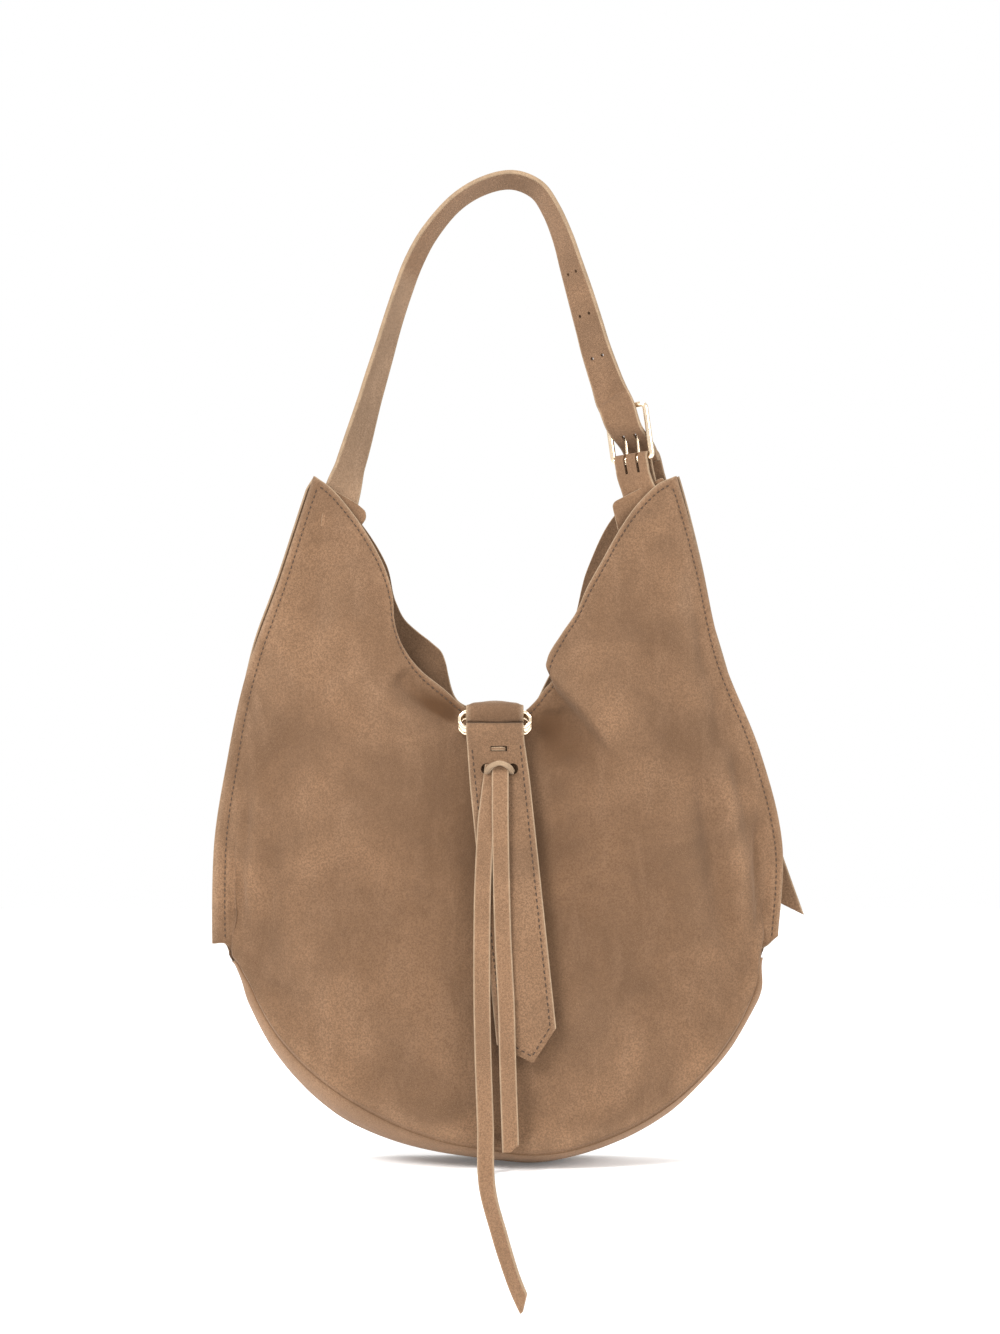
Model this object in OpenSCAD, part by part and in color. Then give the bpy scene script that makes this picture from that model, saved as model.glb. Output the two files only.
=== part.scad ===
// Soft hobo bag with an adjustable shoulder strap.
// Origin: underside of the strap where it hangs. +Z up, +X to the viewer's right, the front faces -Y.

/* [Body] */
// Width of the body where it is widest, notch to notch
body_w = 386; // [330:1:440]
// Height from the peaks to the bottom of the front seam
body_h = 464; // [420:1:500]
// Depth of the bottom, front seam to back seam
body_d = 84; // [60:1:110]
// Depth of the open mouth between the rims
mouth_d = 50; // [36:1:60]
// Thickness of the suede with its lining
suede_t = 2; // [1.6:0.1:2.4]
// How far each panel bellies out beyond its seams
belly = 16; // [8:1:22]

/* [Strap] */
// Width of the shoulder strap
strap_w = 25; // [22:0.5:26]
// Thickness of the shoulder strap
strap_t = 2.8; // [2:0.1:3]
// Spacing of the pairs of adjusting holes along the strap
hole_pitch = 30; // [25:1:35]
// Distance between the two holes of a pair
hole_gap = 9; // [8:0.5:10]
// Diameter of an adjusting hole
hole_d = 2.6; // [2:0.1:3]

/* [Closure] */
// Width of the tab and of the tongue
tongue_w = 39; // [34:0.5:40]
// Length of the tongue below the ring
tongue_l = 219; // [180:1:240]
// Outer width of the closure ring
ring_w = 51; // [49:0.5:56]
// Outer height of the closure ring
ring_h = 18.3; // [17.5:0.1:19]
// Diameter of the ring's wire
wire_d = 3.2; // [2.8:0.1:3.4]
// Diameter of each half of the hidden magnetic snap
snap_d = 14; // [12:1:16]

/* [Thong] */
// Width of the laced thong
thong_w = 11.5; // [9:0.5:12]
// Thickness of the laced thong
thong_t = 2.2; // [1.8:0.1:2.4]

/* [Buckle] */
// Outer height of the buckle frame
buckle_h = 40; // [38:0.5:42]
// Diameter of the buckle's bars
bar_d = 3.4; // [3:0.1:3.6]
// Diameter of a prong
prong_d = 1.8; // [1.5:0.1:2]

/* [Hidden] */

FRONT = -1;
BACK = 1;
suede = "#98735a";
suede_dark = "#84624a";
suede_light = "#a98364";
gold = "#d8bd8c";
steel = "#b9b4aa";

// ---- Shared geometry ----

function lerp(a, b, t) = a + (b - a) * t;
function unit(v) = v / norm(v);
function bell(t, centre, spread) = exp(-pow((t - centre) / spread, 2));
function clamp(t) = max(0, min(1, t));
function smooth(t) = let (c = clamp(t)) c * c * (3 - 2 * c);

// A smooth curve through the points p, at t from 0 to 1
function curve(p, t) =
    let (
        n = len(p) - 1,
        i = min(floor(t * n), n - 1),
        f = t * n - i,
        a = p[max(i - 1, 0)],
        b = p[i],
        c = p[i + 1],
        d = p[min(i + 2, n)]
    )
    0.5 * (2 * b + (c - a) * f + (2 * a - 5 * b + 4 * c - d) * f * f + (3 * (b - c) + d - a) * f * f * f);

// A solid whose skin is a grid of rings: each ring is a closed loop of the same number of points
module skin(rings) {
    n = len(rings[0]);
    last = len(rings) - 1;
    sides = [
        for (i = [0:last - 1], j = [0:n - 1])
            let (k = (j + 1) % n)
            each [[i * n + j, i * n + k, (i + 1) * n + k], [i * n + j, (i + 1) * n + k, (i + 1) * n + j]]
    ];
    first_cap = [for (j = [1:n - 2]) [0, j + 1, j]];
    last_cap = [for (j = [1:n - 2]) [last * n, last * n + j, last * n + j + 1]];
    polyhedron([for (r = rings) each r], concat(sides, first_cap, last_cap));
}

// A sheet solid between two grids of points with the same rows and columns
module sheet(outer, inner) {
    rows = len(outer);
    cols = len(outer[0]);
    base = rows * cols;
    top = [
        for (i = [0:rows - 2], j = [0:cols - 2])
            let (a = i * cols + j, b = a + 1, c = a + cols + 1, d = a + cols)
            each [[a, b, c], [a, c, d]]
    ];
    under = [for (t = top) [t[0] + base, t[2] + base, t[1] + base]];
    border = concat(
        [for (j = [0:cols - 1]) j],
        [for (i = [1:rows - 1]) i * cols + cols - 1],
        [for (j = [cols - 2:-1:0]) (rows - 1) * cols + j],
        [for (i = [rows - 2:-1:1]) i * cols]
    );
    wall = [
        for (k = [0:len(border) - 1])
            let (a = border[k], b = border[(k + 1) % len(border)])
            each [[b, a, a + base], [b, a + base, b + base]]
    ];
    polyhedron(concat([for (r = outer) each r], [for (r = inner) each r]), concat(top, under, wall));
}

// Rings of a flat strip that follows the points p; twist(t) turns its face from the front, in degrees
function strip_rings(p, steps, w, t, twist) = [
    for (k = [0:steps])
        let (
            s = k / steps,
            at = curve(p, s),
            ahead = unit(curve(p, min(1, s + 0.01)) - curve(p, max(0, s - 0.01))),
            across = unit(cross(ahead, [0, -1, 0])),
            front = cross(across, ahead),
            a = twist(s),
            wide = (cos(a) * across - sin(a) * front) * w / 2,
            deep = (sin(a) * across + cos(a) * front) * t / 2
        )
        [at - wide - deep, at + wide - deep, at + wide + deep, at - wide + deep]
];

// The outline of a folded strip of thickness t whose middle follows the points p
function folded(p, t) =
    let (
        n = len(p) - 1,
        sides = [
            for (i = [0:n])
                let (
                    before = unit(p[max(i, 1)] - p[max(i, 1) - 1]),
                    after = unit(p[min(i, n - 1) + 1] - p[min(i, n - 1)]),
                    mean = unit(before + after),
                    mitre = [-mean[1], mean[0]] / max(0.5, before * mean)
                )
                mitre * t / 2
        ]
    )
    concat([for (i = [0:n]) p[i] + sides[i]], [for (i = [n:-1:0]) p[i] - sides[i]]);

// Lays a profile drawn in (Y, Z) across the width w, centred at x
module across(w, x = 0) {
    translate([x - w / 2, 0, 0])
        rotate([90, 0, 90])
            linear_extrude(w)
                children();
}

// ---- Body: two panels and a gusset ----

peak_z = -202;
notch_z = peak_z - 315;
bottom_z = peak_z - body_h;
mid_x = -7;
wing_d = suede_t + 0.3;
seam_clear = 1.2;
grid_u = 40;
grid_v = 20;
notch_step = 0.035;
w_ratio = body_w / 386;

// Outline points in (X, Z): the wings run from peak to notch, the rims from left peak to right peak
left_wing = [[-136, -202], [-158, -265], [-180, -328], [-194, -391], [-202, -454], [-204, -517]];
right_wing = [[110, -202], [129, -265], [145, -328], [170, -391], [185, -454], [182, -517]];
front_rim = [
    [-136, -202], [-108, -231], [-88, -265], [-81, -300], [-66, -332], [-36, -361],
    [4, -367], [25, -338], [33, -308], [54, -270], [78, -229], [110, -202]
];
back_rim = [
    [-136, -202], [-108, -230], [-88, -262], [-80, -293], [-57, -321], [-37, -359],
    [3, -365], [24, -336], [39, -302], [49, -264], [70, -225], [110, -202]
];

// The seam arc below the notches: an ellipse, set in a little at the lower left of the front
arc_rx = body_w / 2 - 16;
arc_rz = notch_z - 8 - bottom_z;
function arc_angle(u) = 180 + 180 * clamp((u - notch_step) / (1 - 2 * notch_step));
function arc_inset(side, u) = side == FRONT ? 3 + 9 * bell(u, 0.33, 0.17) : 1;
function seam_arc(side, u) =
    let (a = arc_angle(u), inset = arc_inset(side, u))
    [mid_x + (arc_rx - inset) * cos(a), notch_z - 8 + (arc_rz - inset) * sin(a)];
function lower_edge(side, u) =
    u < notch_step ? lerp(left_wing[5], seam_arc(side, notch_step), u / notch_step)
    : u > 1 - notch_step ? lerp(right_wing[5], seam_arc(side, 1 - notch_step), (1 - u) / notch_step)
    : seam_arc(side, u);

// Distances of the panel's outer surface from the middle plane
function rim_depth(u) =
    lerp(wing_d, mouth_d / 2, pow(sin(180 * u), 0.7)) - (mouth_d / 2 - 15) * bell(u, 0.5, 0.22);
function arc_depth(u) = lerp(wing_d, body_d / 2, pow(max(0, -sin(arc_angle(u))), 0.8));

function edge_point(side, xz, depth) = [xz[0] * w_ratio, side * depth, xz[1]];
function wing_point(side, wing, v) = edge_point(side, curve(wing, v), wing_d);
function rim_point(side, u) =
    edge_point(side, curve(side == FRONT ? front_rim : back_rim, u), rim_depth(u));
function arc_point(side, u) = edge_point(side, lower_edge(side, u), arc_depth(u));

// The panel's outer surface: u runs from the left wing to the right, v from the rim to the bottom seam
function panel_point(side, u, v) =
    let (
        sides = lerp(wing_point(side, left_wing, v), wing_point(side, right_wing, v), u),
        ends = lerp(rim_point(side, u), arc_point(side, u), v),
        corners = lerp(
            lerp(wing_point(side, left_wing, 0), wing_point(side, right_wing, 0), u),
            lerp(wing_point(side, left_wing, 1), wing_point(side, right_wing, 1), u),
            v
        ),
        swell = belly * pow(sin(180 * u), 1.5) * pow(sin(180 * pow(v, 0.9)), 1.5)
    )
    sides + ends - corners + [0, side * swell, 0];

// The unit normal that points into the bag
function panel_inward(side, u, v) =
    let (
        du = panel_point(side, min(1, u + 0.01), v) - panel_point(side, max(0, u - 0.01), v),
        dv = panel_point(side, u, min(1, v + 0.01)) - panel_point(side, u, max(0, v - 0.01))
    )
    unit(side * cross(dv, du));

module panel(side) {
    outer = [
        for (i = [0:grid_v])
            [for (j = [0:grid_u]) panel_point(side, j / grid_u, i / grid_v)]
    ];
    inner = [
        for (i = [0:grid_v])
            [
                for (j = [0:grid_u])
                    let (p = outer[i][j], n = panel_inward(side, j / grid_u, i / grid_v))
                    p + n * suede_t
            ]
    ];
    if (side == FRONT)
        sheet(outer, inner);
    else
        sheet(inner, outer);
}

module front_panel() {
    color(suede)
        panel(FRONT);
}

module back_panel() {
    color(suede)
        panel(BACK);
}

// The gusset runs between the two seam arcs and bulges outward
gusset_start = 0.07;
gusset_rows = 48;
gusset_cols = 8;
gusset_bulge = 3;
function gusset_point(s, w, lift) =
    let (
        u = lerp(gusset_start, 1 - gusset_start, s),
        front = arc_point(FRONT, u) + [0, suede_t + seam_clear, 0],
        back = arc_point(BACK, u) - [0, suede_t + seam_clear, 0],
        a = arc_angle(u),
        out = gusset_bulge * (1 - pow(2 * w - 1, 2)) + lift
    )
    lerp(front, back, w) + [cos(a), 0, sin(a)] * out;

module bottom_gusset() {
    rings = [
        for (i = [0:gusset_rows])
            let (s = i / gusset_rows)
            concat(
                [for (j = [0:gusset_cols]) gusset_point(s, j / gusset_cols, -suede_t)],
                [for (j = [gusset_cols:-1:0]) gusset_point(s, j / gusset_cols, 0)]
            )
    ];
    color(suede_light)
        skin(rings);
}

// ---- Shoulder strap ----

// The strap flexes at this height, above the buckle; the loop above it hangs on the peg
flex_z = -140;
flex_clear = 4.5;

strap_route = [
    [-94, 0, flex_z + flex_clear], [-88, 0, -117], [-82, 0, -97], [-75, 0, -76], [-67, 0, -55],
    [-56, 0, -35], [-39, 0, -15], [-20, 0, -3], [0, 0, 1.4], [17, 0, -5], [27, 0, -19], [35, 0, -38],
    [41, 0, -58], [47, 0, -78], [53, 0, -99], [58, 0, -117], [64, 0, flex_z + flex_clear]
];
// The face is seen at 28 degrees by the buckle and turns edge-on over the peg
function loop_twist(s) = 72 - (s < 0.5 ? 14 : 40) * pow(abs(2 * s - 1), 1.4);

// A pair of prong holes through the strap at the place s along the loop
module hole_pair(s, length = 12) {
    at = curve(strap_route, s);
    ahead = unit(curve(strap_route, s + 0.01) - curve(strap_route, s - 0.01));
    lean = atan2(ahead[0], -ahead[2]);
    translate(at)
        rotate([0, -lean, 0])
            rotate([0, 0, -loop_twist(s)])
                for (x = [-hole_gap / 2, hole_gap / 2])
                    translate([x, 0, 0])
                        rotate([90, 0, 0])
                            cylinder(d = hole_d, h = length, center = true, $fn = 24);
}

loop_length = 402;
hole_pairs = 3;
module shoulder_strap() {
    color(suede)
        difference() {
            skin(strip_rings(strap_route, 64, strap_w, strap_t, function (s) loop_twist(s)));
            for (k = [0:hole_pairs - 1])
                hole_pair(0.945 - k * hole_pitch / loop_length);
        }
}

left_end_route = [[-120, 0, -236], [-117, 0, -216], [-112, 0, -198], [-106, 0, -178], [-96, 0, flex_z - flex_clear]];
module strap_left_end() {
    color(suede)
        skin(strip_rings(left_end_route, 20, strap_w, strap_t, function (s) 55 * smooth((s - 0.25) / 0.75)));
}

// Sewn patches that back up the strap ends inside the mouth
module anchor_patch_left() {
    color(suede_light)
        translate([0, -1.9, 0])
            rotate([90, 0, 0])
                linear_extrude(1.6)
                    polygon([[-127, -209], [-107, -221], [-101, -226], [-101, -231], [-108, -240], [-131, -238]]);
}

module anchor_patch_right() {
    color(suede_light)
        translate([0, -2.3, 0])
            rotate([90, 0, 0])
                linear_extrude(1.6)
                    polygon([[68, -220], [100, -206], [103, -236], [76, -244]]);
}

// ---- Buckle: drawn round its heel bar, X along the bar, Z up the frame, -Y towards the front ----

heel = [80.5, 0, -190.5];
buckle_lean = 15;
buckle_turn = 28;
buckle_w = strap_w + 1 + 2 * bar_d;
top_bar_z = buckle_h - bar_d;
fold_clear = 0.35;
fold_t = 2;
prong_x = [-hole_gap / 2, hole_gap / 2];

module at_heel() {
    translate(heel)
        rotate([0, -buckle_lean, 0])
            rotate([0, 0, -buckle_turn])
                children();
}

module bar(from, to, d) {
    run = to - from;
    translate(from)
        rotate([0, acos(run[2] / norm(run)), atan2(run[1], run[0])])
            cylinder(d = d, h = norm(run), $fn = 32);
}

module buckle_frame() {
    x = (buckle_w - bar_d) / 2;
    corners = [[-x, 0, 0], [x, 0, 0], [x, 0, top_bar_z], [-x, 0, top_bar_z]];
    color(gold)
        at_heel()
            for (k = [0:3]) {
                bar(corners[k], corners[(k + 1) % 4], bar_d);
                translate(corners[k])
                    sphere(d = bar_d, $fn = 32);
            }
}

prong_hub_d = bar_d + 2.4;
prong_hub_w = 3.4;
prong_rest_y = (bar_d + prong_d) / 2 + 0.15;
module prong(x) {
    color(gold)
        at_heel()
            difference() {
                union() {
                    translate([x - prong_hub_w / 2, 0, 0])
                        rotate([0, 90, 0])
                            cylinder(d = prong_hub_d, h = prong_hub_w, $fn = 32);
                    bar([x, 1, 2], [x, prong_rest_y, top_bar_z + 2.5], prong_d);
                }
                translate([x - prong_hub_w, 0, 0])
                    rotate([0, 90, 0])
                        cylinder(d = bar_d + 0.1, h = 2 * prong_hub_w, $fn = 32);
            }
}

module buckle_prong_left() {
    prong(prong_x[0]);
}

module buckle_prong_right() {
    prong(prong_x[1]);
}

// The strap enters in front of the top bar, crosses the frame and leaves behind the heel bar
run_route = [
    [-2, 47], [-4.3, 42], [-4.6, 36.6], [-4.3, 27], [-3.2, 21.5], [0.6, 16.5], [4.6, 12.2], [6.4, 7.5],
    [6.8, 2], [6.8, -4]
];
run_slot_z = 15;
run_slot = 5;
module strap_buckled_run() {
    color(suede)
        at_heel()
            difference() {
                across(strap_w)
                    polygon(folded(run_route, strap_t));
                for (x = prong_x) {
                    translate([x, 0, run_slot_z])
                        cube([prong_d + 1.6, 30, run_slot], center = true);
                    for (z = [-run_slot / 2, run_slot / 2])
                        translate([x, 0, run_slot_z + z])
                            rotate([90, 0, 0])
                                cylinder(d = prong_d + 1.6, h = 30, center = true, $fn = 24);
                }
            }
}

// The buckle's own short strap is folded round the heel bar, with a slot for each prong
fold_r = bar_d / 2 + fold_clear + fold_t / 2;
fold_route = concat(
    [[-1.2, -12], [-2.2, -7]],
    [for (a = [180:-20:0]) fold_r * [cos(a), sin(a)]],
    [[2.2, -7], [1.2, -12]]
);
module buckle_strap() {
    color(suede_light)
        at_heel()
            difference() {
                across(strap_w)
                    polygon(folded(fold_route, fold_t));
                for (x = prong_x)
                    translate([x, 0, 1.5])
                        cube([prong_hub_w + 0.8, 12, 11], center = true);
            }
}

module buckle_strap_end() {
    route = [[85, 0, -205], [89, 0, -220], [93, 0, -238]];
    color(suede_light)
        skin(strip_rings(route, 6, strap_w, 3.8, function (s) 0));
}

// The free end of the strap hangs behind the bag and ends in a slanted point
tail_route = [
    [90, 12.5, -204], [104, 15.5, -240], [119, 15.5, -280], [133, 16, -325], [146, 17, -370],
    [159, 18, -415], [173, 18, -460], [192, 17, -515]
];
module strap_tail() {
    color(suede_dark)
        difference() {
            skin(strip_rings(tail_route, 42, strap_w, strap_t, function (s) 0));
            translate([200, 40, -507])
                rotate([90, 0, 0])
                    linear_extrude(60)
                        polygon([[0, 0], [-60, 72], [-60, -30], [20, -30], [20, 0]]);
        }
}

// ---- Closure: tab, ring, tongue and magnetic snap ----

closure_x = -11.7;
ring_y = -28;
ring_top_z = -363;
ring_low_z = ring_top_z - ring_h + wire_d;
tab_t = 2;
loop_r = wire_d / 2 + 0.4 + tab_t / 2;

// The tab: over the mouth, round the ring's upper bar and back under itself
tab_drop = 2.2;
tab_route = concat(
    [[20.5, -357.9], [16, -357.2], [ring_y + 13, -357.1], [ring_y + 6, -357.8]],
    [for (a = [90:22.5:180]) [ring_y + loop_r * cos(a), ring_top_z + loop_r * sin(a)]],
    [for (a = [180:22.5:360]) [ring_y + loop_r * cos(a), ring_top_z - tab_drop + loop_r * sin(a)]],
    [[ring_y + 3.4, -363], [ring_y + 6, -361.2], [ring_y + 13, -359.6], [-8, -359.5]]
);
module closure_tab() {
    color(suede_light)
        across(tongue_w, closure_x)
            polygon(folded(tab_route, tab_t));
}

// The sewn end of the tab on the back of the back panel
module closure_tab_base() {
    route = [[closure_x, 23.3, -363], [closure_x, 26.7, -380], [closure_x, 30.4, -397], [closure_x, 34, -414]];
    color(suede)
        skin(strip_rings(route, 8, tongue_w, tab_t, function (s) 0));
}

module closure_ring() {
    x = (ring_w - wire_d) / 2;
    c = 3;
    z = [ring_low_z, ring_top_z];
    path = [
        [-x + c, z[0]], [x - c, z[0]], [x, z[0] + c], [x, z[1] - c],
        [x - c, z[1]], [-x + c, z[1]], [-x, z[1] - c], [-x, z[0] + c]
    ];
    color(gold)
        for (k = [0:7]) {
            from = [closure_x + path[k][0], ring_y, path[k][1]];
            to = [closure_x + path[(k + 1) % 8][0], ring_y, path[(k + 1) % 8][1]];
            bar(from, to, wire_d);
            translate(from)
                sphere(d = wire_d, $fn = 32);
        }
}

// The depth of the tongue's middle surface, at even steps from the ring down over the belly
tongue_top_z = ring_low_z - 3.2;
tongue_tip_z = ring_low_z - tongue_l - 2;
tongue_depths = [ring_y, -34.8, -42, -46.5, -49, -49, -48];
tongue_lean = 0.105;
tongue_ply = 1.9;
function tongue_y(z) = curve(tongue_depths, clamp((tongue_top_z - z) / (tongue_top_z - tongue_tip_z)));
function tongue_mid_x(z) = closure_x + tongue_lean * (ring_low_z - z);
// Height of the lower edge at the place s across the tongue: a slanted point right of the middle
function tongue_end_z(s) = tongue_tip_z + (s < 0.56 ? 15 * (0.56 - s) / 0.56 : 22 * (s - 0.56) / 0.44);

module tongue_blade(shift, top_z) {
    rows = 30;
    cols = 8;
    function point(i, j, dy) =
        let (s = j / cols, z = lerp(top_z, tongue_end_z(s), i / rows))
        [tongue_mid_x(z) + (s - 0.5) * tongue_w, tongue_y(z) + shift + dy, z];
    back = [for (i = [0:rows]) [for (j = [0:cols]) point(i, j, tongue_ply / 2)]];
    front = [for (i = [0:rows]) [for (j = [0:cols]) point(i, j, -tongue_ply / 2)]];
    sheet(front, back);
}

// The slit and the two holes that the thong is laced through
slit_z = -388;
lace_z = -403;
lace_x = [-20.5, 3.3];
module lace_holes() {
    for (x = lace_x)
        translate([x, 0, lace_z])
            rotate([90, 0, 0])
                cylinder(d = 8, h = 90, $fn = 32);
    translate([-9.2, -45, slit_z])
        cube([13, 90, 4], center = true);
}

tongue_loop_rise = 4.2;
tongue_loop = concat(
    [for (a = [180:-20:0]) [ring_y + loop_r * cos(a), ring_low_z + tongue_loop_rise + loop_r * sin(a)]],
    [for (a = [0:-20:-180]) [ring_y + loop_r * cos(a), ring_low_z + loop_r * sin(a)]]
);
module tongue_face() {
    color(suede)
        difference() {
            union() {
                tongue_blade(-1.05, tongue_top_z);
                across(tongue_w, closure_x)
                    difference() {
                        offset(delta = tab_t / 2)
                            polygon(tongue_loop);
                        offset(delta = -tab_t / 2)
                            polygon(tongue_loop);
                    }
            }
            lace_holes();
        }
}

module tongue_backing() {
    color(suede_dark)
        difference() {
            tongue_blade(1.05, tongue_top_z - 2.5);
            lace_holes();
        }
}

// The magnetic snap: a socket on the front panel, its washer inside, and a stud behind the tongue
snap_t = 1.6;
snap_lift = 0.6;
snap_u = 0.5;
snap_v = 0.23;
snap_at = panel_point(FRONT, snap_u, snap_v);
snap_in = panel_inward(FRONT, snap_u, snap_v);
module snap_disc(lift, t, d, bore) {
    translate(snap_at - snap_in * lift)
        rotate([90 + asin(snap_in[2]), 0, 0])
            rotate([0, -asin(snap_in[0]), 0])
                difference() {
                    cylinder(d = d, h = t, $fn = 48);
                    translate([0, 0, -1])
                        cylinder(d = bore, h = t + 2, $fn = 24);
                }
}

module snap_socket() {
    color(gold)
        snap_disc(snap_lift, snap_t, snap_d, 4);
}

module snap_socket_washer() {
    color(steel)
        snap_disc(-suede_t - 1.4, 0.8, snap_d - 3, 4);
}

module snap_stud() {
    color(gold)
        snap_disc(snap_lift + snap_t + 0.5, snap_t, snap_d, 3);
}

// ---- Laced thong: the points are the middle of its route ----

bar_y = -40;
knot_half = 2;
knot_route = [
    [-20.5, -28.2, -403], [-20.5, -33, -403], [-19.5, -37, -402.4], [-15, bar_y, -399.4],
    [-8.5, bar_y - 0.5, -397.7], [-2, bar_y, -399.4], [2.4, -37, -402.4], [3.3, -33, -403], [3.3, -28.2, -403]
];
short_route = [
    [-8, -35.6, -401], [-8, -43.4, -440], [-7.2, -49.3, -480], [-6, -52.6, -520], [-4, -53, -560],
    [-3, -53, -600], [-2, -53, -630], [-1, -53, -658]
];
long_route = [
    [-20, -36.6, -407.5], [-20, -43.4, -440], [-20.2, -49.3, -480], [-20.4, -52.6, -520], [-20.3, -53, -560],
    [-19.4, -53, -600], [-18, -53, -640], [-17, -53, -680], [-9, -53, -712], [1, -53, -744], [10, -53, -765]
];

module thong(route, steps, w) {
    bevel = 0.5;
    flat = strip_rings(route, steps, w, thong_t, function (s) 0);
    rings = [
        for (r = flat)
            let (x = unit(r[1] - r[0]) * bevel, y = unit(r[3] - r[0]) * bevel)
            [r[0] + x, r[1] - x, r[1] + y, r[2] - y, r[2] - x, r[3] + x, r[3] - y, r[0] + y]
    ];
    skin(rings);
}

module thong_knot() {
    rings = [
        for (k = [0:40])
            let (
                s = k / 40,
                at = curve(knot_route, s),
                ahead = unit(curve(knot_route, min(1, s + 0.01)) - curve(knot_route, max(0, s - 0.01))),
                up = unit(cross(ahead, cross([0, 0, 1], ahead))),
                side = cross(up, ahead)
            )
            [for (a = [22.5:45:360]) at + up * knot_half * cos(a) + side * knot_half * sin(a)]
    ];
    color(suede_light)
        skin(rings);
}

module thong_long() {
    color(suede)
        thong(long_route, 60, thong_w);
}

module thong_short() {
    color(suede)
        thong(short_route, 45, thong_w);
}

shoulder_strap();
strap_left_end();
strap_buckled_run();
strap_tail();
buckle_strap();
buckle_strap_end();
anchor_patch_left();
anchor_patch_right();
buckle_frame();
buckle_prong_left();
buckle_prong_right();
front_panel();
back_panel();
bottom_gusset();
closure_tab_base();
closure_tab();
closure_ring();
tongue_face();
tongue_backing();
snap_socket();
snap_socket_washer();
snap_stud();
thong_knot();
thong_long();
thong_short();
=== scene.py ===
"""Looks of the soft suede hobo bag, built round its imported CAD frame.

Lengths are in mm until mesh() turns them into metres.
"""

import math

import bmesh
import bpy
import numpy as np
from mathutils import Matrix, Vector


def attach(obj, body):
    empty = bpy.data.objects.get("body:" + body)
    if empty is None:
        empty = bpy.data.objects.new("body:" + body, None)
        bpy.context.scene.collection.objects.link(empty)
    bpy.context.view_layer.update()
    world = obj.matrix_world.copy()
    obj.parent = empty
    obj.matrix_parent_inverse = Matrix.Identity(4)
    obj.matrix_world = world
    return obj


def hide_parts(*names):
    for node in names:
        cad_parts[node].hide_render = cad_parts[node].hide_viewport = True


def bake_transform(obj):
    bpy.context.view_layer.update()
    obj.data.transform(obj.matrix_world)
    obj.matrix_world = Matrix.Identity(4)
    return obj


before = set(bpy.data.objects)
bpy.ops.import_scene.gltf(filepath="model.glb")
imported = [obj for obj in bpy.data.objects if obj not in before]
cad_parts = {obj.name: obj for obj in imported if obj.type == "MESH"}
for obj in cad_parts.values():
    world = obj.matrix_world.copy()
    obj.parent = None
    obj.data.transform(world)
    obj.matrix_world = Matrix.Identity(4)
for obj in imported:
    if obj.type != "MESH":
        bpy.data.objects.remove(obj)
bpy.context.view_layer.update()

FRONT, BACK = -1, 1


# ---- Small mathematics ----


def unit(v):
    v = np.asarray(v, float)
    return v / np.maximum(np.linalg.norm(v, axis=-1, keepdims=True), 1e-12)


def lerp(a, b, t):
    return a + (b - a) * t


def bell(t, centre, spread):
    return np.exp(-(((t - centre) / spread) ** 2))


def spot(x, z, cx, cz, wx, wz):
    """A soft round patch at (cx, cz) on the bag's face."""
    return np.exp(-(((x - cx) / wx) ** 2) - (((z - cz) / wz) ** 2))


def smooth(t):
    c = np.clip(t, 0, 1)
    return c * c * (3 - 2 * c)


def distances(p):
    """How far along a line of points each of them is."""
    return np.concatenate([[0], np.cumsum(np.linalg.norm(np.diff(p, axis=0), axis=1))])


def curve(points, t):
    """The same smooth curve through points as in part.scad, for an array t from 0 to 1."""
    p = np.asarray(points, float)
    t = np.asarray(t, float)
    n = len(p) - 1
    i = np.clip(np.floor(t * n).astype(int), 0, n - 1)
    f = (t * n - i)[..., None]
    a, b, c, d = p[np.maximum(i - 1, 0)], p[i], p[i + 1], p[np.minimum(i + 2, n)]
    return 0.5 * (2 * b + (c - a) * f + (2 * a - 5 * b + 4 * c - d) * f * f + (3 * (b - c) + d - a) * f**3)


def lattice(ix, iy, iz, seed):
    """A repeatable value from 0 to 1 for each corner of a grid."""
    ix, iy, iz = (k.astype(np.int64) for k in (ix, iy, iz))
    h = ix * 374761393 + iy * 668265263 + iz * 2147483647 + seed * 144665
    h = (h ^ (h >> 13)) * 1274126177
    h = h ^ (h >> 16)
    return (h & 0xFFFFFF) / float(0xFFFFFF)


def noise(points, size, seed=1):
    """Smooth noise from -1 to 1 over points, with features of that size."""
    q = np.asarray(points, float) / size
    base = np.floor(q)
    f = q - base
    f = f * f * f * (f * (f * 6 - 15) + 10)
    ix, iy, iz = (base[..., k].astype(np.int64) for k in range(3))
    total = 0
    for dx in (0, 1):
        for dy in (0, 1):
            for dz in (0, 1):
                w = (
                    (f[..., 0] if dx else 1 - f[..., 0])
                    * (f[..., 1] if dy else 1 - f[..., 1])
                    * (f[..., 2] if dz else 1 - f[..., 2])
                )
                total = total + w * lattice(ix + dx, iy + dy, iz + dz, seed)
    return total * 2 - 1


def through(points, at, t):
    """A smooth curve through control points that sit at unevenly spaced places."""
    p = np.asarray(points, float)
    i = np.clip(np.searchsorted(at, t, side="right") - 1, 0, len(p) - 2)
    h = (at[i + 1] - at[i])[..., None]
    f = ((t - at[i])[..., None]) / h
    slope = np.gradient(p, at, axis=0)
    m0, m1 = slope[i] * h, slope[i + 1] * h
    a, b = p[i], p[i + 1]
    ends = (2 * f**3 - 3 * f**2 + 1) * a + (f**3 - 2 * f**2 + f) * m0
    return ends + (-2 * f**3 + 3 * f**2) * b + (f**3 - f**2) * m1


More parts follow.
